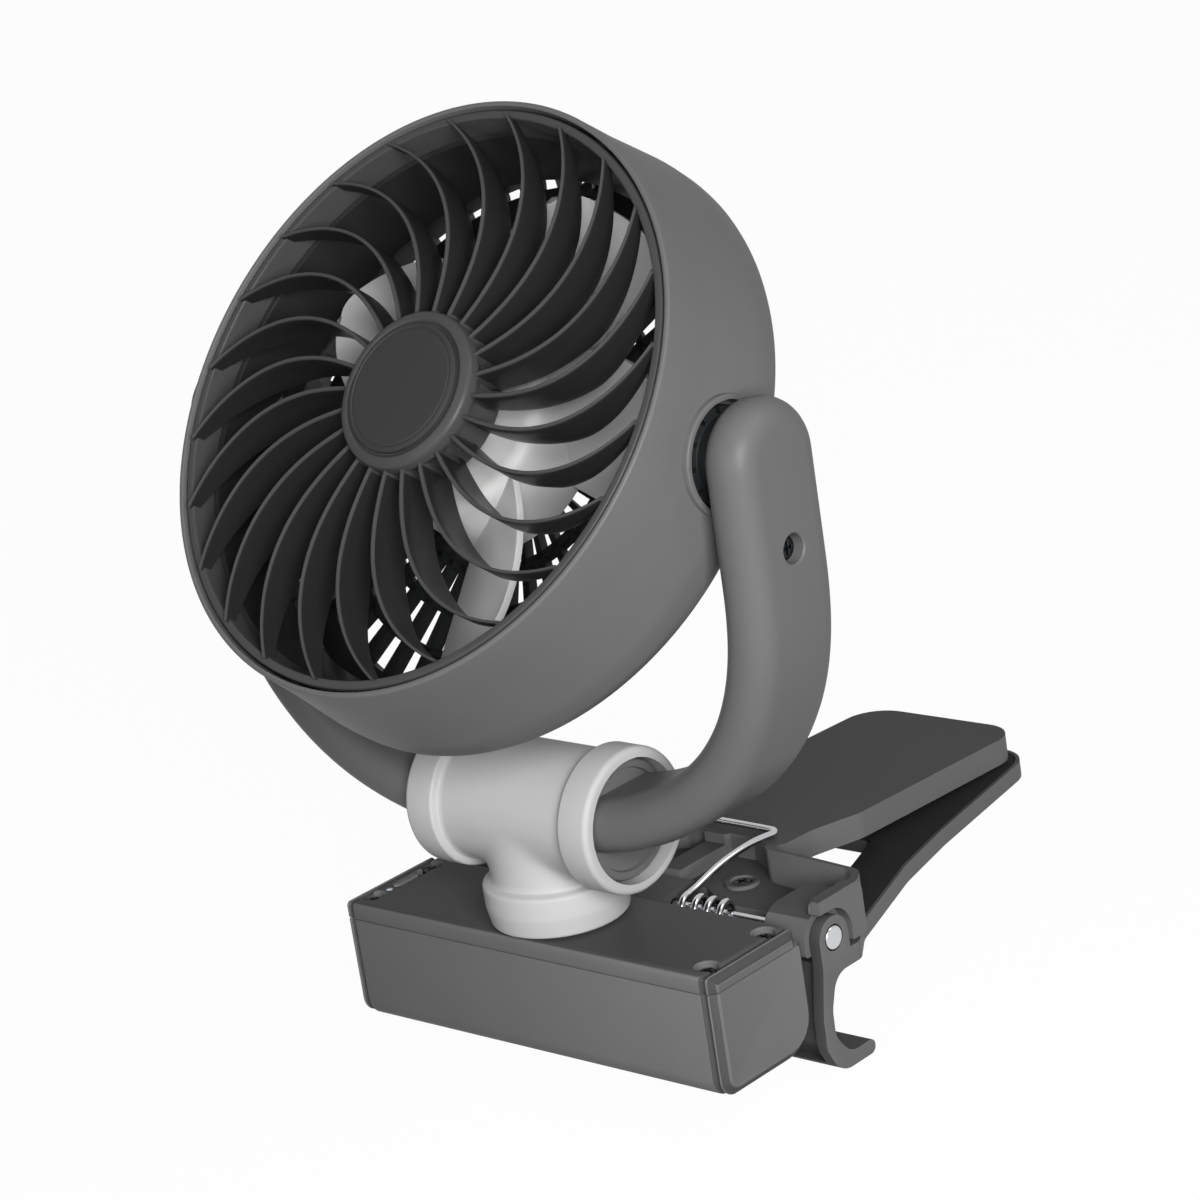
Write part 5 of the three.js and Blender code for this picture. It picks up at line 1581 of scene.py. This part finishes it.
    def lower_jaw(self) -> bpy.types.Object:
        """Model the lower jaw: a tapering plate, a hollow-fronted strap, its lip and two ears."""
        ear_in = self.half - self.ear + 0.3
        reach = self.half + 1
        piece = Bench.upright("lower_jaw_look", self.lower_outline(0), self.jaw_low, self.jaw_top - 0.12)
        hollow = Bench.upright("pad_room", self.lower_outline(0.9), self.jaw_top - 1, self.jaw_top + 1)
        Bench.cut(hollow, Bench.block("front", (-reach, 41.4, 0), (reach, self.jaw_tip, 30)), how="INTERSECT")
        Bench.cut(piece, hollow)
        Bench.cut(piece, Bench.along("strap", self.strap(), -self.half, self.half), how="UNION")
        front = [(16.8, 16.2, 0), (24.1, 16.2, 0), (21.7, 3.4, 4)]
        room = rounded([*front, (21.5, -2.6, 4), (24.6, -7.4, 0), (16.8, -7.4, 0)], 6)
        Bench.cut(piece, Bench.along("strap_room", room, -ear_in, ear_in))
        Bench.cut(piece, Bench.upright("window", self.window(0), 0, self.jaw_top + 1))
        Bench.cut(piece, Bench.block("coil_room", (-ear_in, 0, self.web_top), (ear_in, 33.6, self.pin_z)))
        e, y, z = self.jaw_ear, self.pin_y, self.pin_z
        foot = [(y - e, self.web_top - 1, 0), (y + e, self.web_top - 1, 0)]
        ear = rounded([*foot, (y + e, z + e, e), (y - e, z + e, e)], 14)
        Bench.cut(piece, *Bench.both(Bench.along("ear", ear, ear_in, self.half)), how="UNION")
        eye = Bench.rod("eye", self.rod_end + 0.3, 0, reach, 40)
        Bench.placed(eye, on_side(0, self.pin_y, self.pin_z))
        Bench.cut(piece, *Bench.both(eye))
        return Bench.softened(piece, 0.45, 3, 40)

    def lower_pad(self) -> bpy.types.Object:
        """Model the lower jaw's soft pad."""
        piece = Bench.upright("lower_pad_look", self.lower_outline(1.14), self.jaw_top - 0.88, self.jaw_top)
        room = Bench.block("room", (-self.half, 41.7, 0), (self.half, self.jaw_tip, 30))
        Bench.cut(piece, room, how="INTERSECT")
        Bench.cut(piece, Bench.upright("window", self.window(0.3), 0, self.jaw_top + 1))
        return Bench.softened(piece, 0.25, 2, 40)

    def saddle(self) -> bpy.types.Object:
        """Model the saddle that carries the clip on the box's rear wall."""
        core = rounded(
            [
                (16.8, 17.5, 0), (34.5, 17.5, 0), (34.5, 19.2, 0), (33.3, 19.5, 0.3), (35.2, 23.3, 0.3),
                (33.5, 24.3, 0.8), (30, 24.3, 2), (19.8, 23.3, 2), (16.8, 22.3, 0.5),
            ],
            5,
        )
        piece = Bench.along("jaw_saddle_look", core, -8.6, 8.6)
        plate = rounded([(-21, 33, 3), (21, 33, 3), (21, 48, 3), (-21, 48, 3)], 6)
        Bench.cut(piece, Bench.upright("plate", plate, 17.5, 19.2), how="UNION")
        eye = Bench.rod("eye", self.rod + 0.3, -10, 10, 32)
        Bench.placed(eye, on_side(0, self.pin_y, self.pin_z))
        Bench.cut(piece, eye)
        return Bench.softened(piece, 0.4, 2, 40)

    def rod_piece(self) -> bpy.types.Object:
        """Model the pivot rod with its domed bright ends."""
        end, seat = self.half + 0.24, self.half - self.ear + 0.3
        wide, thin = self.rod_end, self.rod
        low_end = [(0, -end, 0), (wide, -end, 0.5), (wide, -seat, 0), (thin, -seat, 0)]
        high_end = [(thin, seat, 0), (wide, seat, 0), (wide, end, 0.5), (0, end, 0)]
        profile = rounded(low_end + high_end, 4)
        piece = Bench.turned("pivot_rod_look", profile, 40)
        turn = on_side(0, self.pin_y, self.pin_z)
        return Bench.placed(piece, turn)

    def build(self) -> None:
        """Build and dress the clip."""
        upper = self.upper_jaw()
        # The upper jaw's flats, top and underside, wear the darker copy of the ABS as painted shade.
        trim = (SHADED_CHARCOAL, facing(upper, 2, 0.8))
        deliver(upper, "base", BOX_BLACK, ["upper_jaw"], 32, trim)
        deliver(self.upper_pad(), "base", PAD_RUBBER, ["upper_pad"])
        # The saddle under the upper jaw wears the darker copy of the ABS as painted shade.
        deliver(self.saddle(), "base", SHADED_CHARCOAL, ["jaw_saddle"])
        deliver(self.rod_piece(), "base", BRIGHT_WIRE, ["pivot_rod"])
        lower = self.lower_jaw()
        # The lower jaw wears the darker copy of the ABS as painted shade, but for its side faces, which keep
        # the box's ABS.
        trim = (BOX_BLACK, facing(lower, 0, 0.7))
        deliver(lower, "clip_jaw", SHADED_CHARCOAL, ["lower_jaw"], 32, trim)
        deliver(self.lower_pad(), "clip_jaw", PAD_RUBBER, ["lower_pad"])
        bolt = screw("jaw_screw_right_look", 2.4, 1.2, 1.1, 2.2, 1.4)
        Bench.placed(bolt, Matrix.Translation((self.screw_x, self.screw_y, self.floor_high + 0.75)))
        deliver_pair(bolt, "base", BLACK_ZINC, "jaw_screw_right")


@dataclass
class ClipSpring:
    """The double torsion spring of bright wire round the pivot rod."""

    wire: float = 0.8
    mean: float = 3.2
    inner: float = 12.6
    outer: float = 24.4
    turns: int = 3
    loop_half: float = 14.6
    loop_y: float = 57.4
    loop_z: float = 27.8
    corner: float = 1.7
    pin_y: float = 26.8
    pin_z: float = 20.8

    def coil_point(self, t: float) -> Vector:
        """Give a place on the coil, from its outer end to its inner one."""
        leave = math.pi * 0.9
        turn = leave - t * (self.turns * TURN + leave - QUARTER)
        x = self.outer + (self.inner - self.outer) * t
        return Vector((x, self.pin_y + self.mean * math.cos(turn), self.pin_z + self.mean * math.sin(turn)))

    def half_line(self) -> list[Vector]:
        """Give the wire's middle line from its right foot to the loop's right corner."""
        foot, first = Vector((self.outer, 20.7, 7.6)), self.coil_point(0)
        line = [foot.lerp(first, k / 5) for k in range(5)]
        steps = round((self.turns + 0.4) * 14)
        line += [self.coil_point(k / steps) for k in range(steps + 1)]
        top = self.loop_z
        knots = [
            Vector((self.inner, self.pin_y, self.pin_z + self.mean)),
            Vector((self.inner + 0.1, self.pin_y + 3, self.pin_z + self.mean + 0.5)),
            Vector((self.inner + 0.6, self.pin_y + 12, top - 0.9)),
            Vector((self.loop_half - 0.4, self.pin_y + 22, top + 0.4)),
            Vector((self.loop_half, self.loop_y - self.corner, top)),
        ]
        line += catmull(knots, 14)[1:]
        for k in range(1, 5):
            t = k / 4 * QUARTER
            x = self.loop_half - self.corner + self.corner * math.cos(t)
            y = self.loop_y - self.corner + self.corner * math.sin(t)
            line.append(Vector((x, y, top)))
        return line

    def build(self) -> None:
        """Build and dress the spring."""
        right = self.half_line()
        left = [Vector((-p.x, p.y, p.z)) for p in reversed(right)]
        line = catmull(right + left, 900)
        piece = tube_on("torsion_spring_look", line, self.wire, 16)
        deliver(piece, "base", BRIGHT_WIRE, ["torsion_spring"], 60)


def catmull(knots: Sequence[Vector], count: int) -> list[Vector]:
    """Run a centripetal curve through knots.

    Args:
        knots: Places that the curve passes.
        count: Steps along it, spread evenly over the spans.

    Returns:
        Places along the curve.
    """
    ends = [knots[0] * 2 - knots[1], *knots, knots[-1] * 2 - knots[-2]]
    spans = len(knots) - 1
    out = []
    for k in range(count + 1):
        place = k / count * spans
        i = min(int(place), spans - 1)
        t = place - i
        a, b, c, d = ends[i : i + 4]
        gaps = [max((q - p).length ** 0.5, 1e-6) for p, q in ((a, b), (b, c), (c, d))]
        m1 = ((b - a) / gaps[0] - (c - a) / (gaps[0] + gaps[1]) + (c - b) / gaps[1]) * gaps[1]
        m2 = ((c - b) / gaps[1] - (d - b) / (gaps[1] + gaps[2]) + (d - c) / gaps[2]) * gaps[1]
        h1, h2 = 2 * t**3 - 3 * t**2 + 1, t**3 - 2 * t**2 + t
        h3, h4 = -2 * t**3 + 3 * t**2, t**3 - t**2
        out.append(b * h1 + m1 * h2 + c * h3 + m2 * h4)
    return out


# ---------------------------------------------------------------- studio
@dataclass(frozen=True)
class Lamp:
    """A soft square lamp that faces the fan."""

    name: str
    azimuth: float  # degrees from -Y towards +X
    rise: float  # degrees above the horizon
    size: float  # length of its side, mm
    power: float  # watts


@dataclass
class Studio:
    """Floor, lamps, world and the camera at the photograph's viewing angle."""

    target: tuple[float, float, float] = (20.97, 5.4, 101.45)
    distance: float = 802.6
    azimuth: float = 44.31
    elevation: float = 17.4
    roll: float = -8.79
    lens: float = 114.465
    sensor: float = 36
    view_end: float = 20  # metres
    floor_z: float = -10.2
    floor_size: float = 12  # metres
    floor_shade: str = "3c3c3c"  # what the floor throws back on the fan
    floor_seen: str = "f4f4f4"  # what the camera sees in a shadow
    floor_glow: float = 0.97
    ambient: float = 0.03
    mirror_share: float = 0.6  # how much of the white background reflections see
    middle: tuple[float, float, float] = (10, 0, 90)
    lamp_far: float = 1000
    lamps: tuple[Lamp, ...] = (
        Lamp("key", 54, 18, 450, 16.5),
        Lamp("fill", 4, 8, 600, 3.2),
        Lamp("top", 112, 48, 400, 1.8),
    )

    @staticmethod
    def way(azimuth: float, rise: float) -> Vector:
        """Give the direction at an azimuth and a height, both in degrees."""
        a, e = math.radians(azimuth), math.radians(rise)
        return Vector((math.sin(a) * math.cos(e), -math.cos(a) * math.cos(e), math.sin(e)))

    def direct(self, tree: bpy.types.NodeTree) -> bpy.types.NodeSocket:
        """Give 1 to the camera and through clear matter, a share to reflections, and else 0."""
        path = add(tree, "ShaderNodeLightPath")
        eye = path.outputs["Is Camera Ray"]
        for other, share in (("Is Glossy Ray", self.mirror_share), ("Is Transmission Ray", 1.0)):
            part = add(tree, "ShaderNodeMath", {0: path.outputs[other], 1: share}, operation="MULTIPLY")
            both = add(tree, "ShaderNodeMath", {0: eye, 1: part.outputs[0]}, operation="MAXIMUM")
            eye = both.outputs[0]
        return eye

    def camera(self) -> None:
        """Place the camera."""
        a, r = math.radians(self.azimuth), math.radians(self.roll)
        back = self.way(self.azimuth, self.elevation)
        flat = Vector((math.cos(a), math.sin(a), 0))
        level = back.cross(flat)
        right = flat * math.cos(r) + level * math.sin(r)
        up = level * math.cos(r) - flat * math.sin(r)
        data = bpy.data.cameras.new("photo_view")
        data.lens = self.lens
        data.sensor_width = self.sensor
        data.clip_end = self.view_end
        eye = bpy.data.objects.new("photo_view", data)
        spin = Matrix((right, up, back)).transposed().to_4x4()
        place = (Vector(self.target) + back * self.distance) * MM
        eye.matrix_world = Matrix.Translation(place) @ spin
        bpy.context.scene.collection.objects.link(eye)
        bpy.context.scene.camera = eye

    def hang(self, lamp: Lamp) -> None:
        """Hang a lamp."""
        middle = Vector(self.middle)
        place = middle + self.way(lamp.azimuth, lamp.rise) * self.lamp_far
        data = bpy.data.lights.new(lamp.name, "AREA")
        data.size = lamp.size * MM
        data.energy = lamp.power
        made = bpy.data.objects.new(lamp.name, data)
        made.location = place * MM
        made.rotation_euler = (middle - place).to_track_quat("-Z", "Y").to_euler()
        bpy.context.scene.collection.objects.link(made)

    def white_world(self) -> None:
        """Make a world that is white to the eye and to reflections, and plain grey as light."""
        world = bpy.data.worlds.new("studio")
        bpy.context.scene.world = world
        world.use_nodes = True
        tree = world.node_tree
        tree.nodes.clear()
        white = linear("ffffff")
        light = add(tree, "ShaderNodeBackground", {"Color": white, "Strength": self.ambient})
        seen = add(tree, "ShaderNodeBackground", {"Color": white, "Strength": 1.0})
        sides = {0: self.direct(tree), 1: light.outputs[0], 2: seen.outputs[0]}
        mix = add(tree, "ShaderNodeMixShader", sides)
        add(tree, "ShaderNodeOutputWorld", {"Surface": mix.outputs[0]})

    def floor(self) -> None:
        """Lay a white floor that keeps a faint shadow."""
        Bench.clear()
        bpy.ops.mesh.primitive_plane_add(size=self.floor_size, location=(0, 0, self.floor_z * MM))
        floor = bpy.context.object
        floor.name = "studio_floor"
        made = bpy.data.materials.new("white_floor")
        made.use_nodes = True
        tree = made.node_tree
        tree.nodes.clear()
        direct = self.direct(tree)
        shades = {0: direct, 6: linear(self.floor_shade), 7: linear(self.floor_seen)}
        tone = add(tree, "ShaderNodeMix", shades, data_type="RGBA")
        paint = add(tree, "ShaderNodeBsdfDiffuse", {"Color": tone.outputs[2]})
        glow = add(tree, "ShaderNodeEmission", {"Color": linear("ffffff"), "Strength": 1.0})
        share = add(tree, "ShaderNodeMath", {0: direct, 1: self.floor_glow}, operation="MULTIPLY")
        mix = add(tree, "ShaderNodeMixShader", {0: share.outputs[0], 1: paint.outputs[0], 2: glow.outputs[0]})
        add(tree, "ShaderNodeOutputMaterial", {"Surface": mix.outputs[0]})
        floor.data.materials.append(made)

    def build(self) -> None:
        """Build the studio."""
        bpy.context.scene.view_settings.view_transform = "Standard"
        self.camera()
        self.white_world()
        self.floor()
        for lamp in self.lamps:
            self.hang(lamp)


def main() -> None:
    """Build every sub-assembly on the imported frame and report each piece."""
    logging.basicConfig(level=logging.INFO, format="%(name)s: %(message)s")
    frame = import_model()
    nodes = frame["nodes"]
    Studio().build()
    PowerBox().build()
    Tee().build()
    Yoke().build()
    head = Head()
    head.build(nodes)
    Rotor().build(head.tilted(), nodes)
    Clip().build()
    ClipSpring().build()
    for name in ("swivel_post", "lid_nut", "tee_nut", "power_switch"):
        dress_node(nodes[name], INNER_BLACK)
    for name in ("pivot_pin", "saddle_screw"):
        for side in ("right", "left"):
            dress_node(nodes[f"{name}_{side}"], ZINC)
    dress_node(nodes["charge_socket"], ZINC)
    dress_node(nodes["circuit_board"], RESIST)
    dress_node(nodes["battery_cell"], SLEEVE)
    dress_node(nodes["status_lens"], LIGHT_PIPE)


if __name__ == "__main__":
    main()
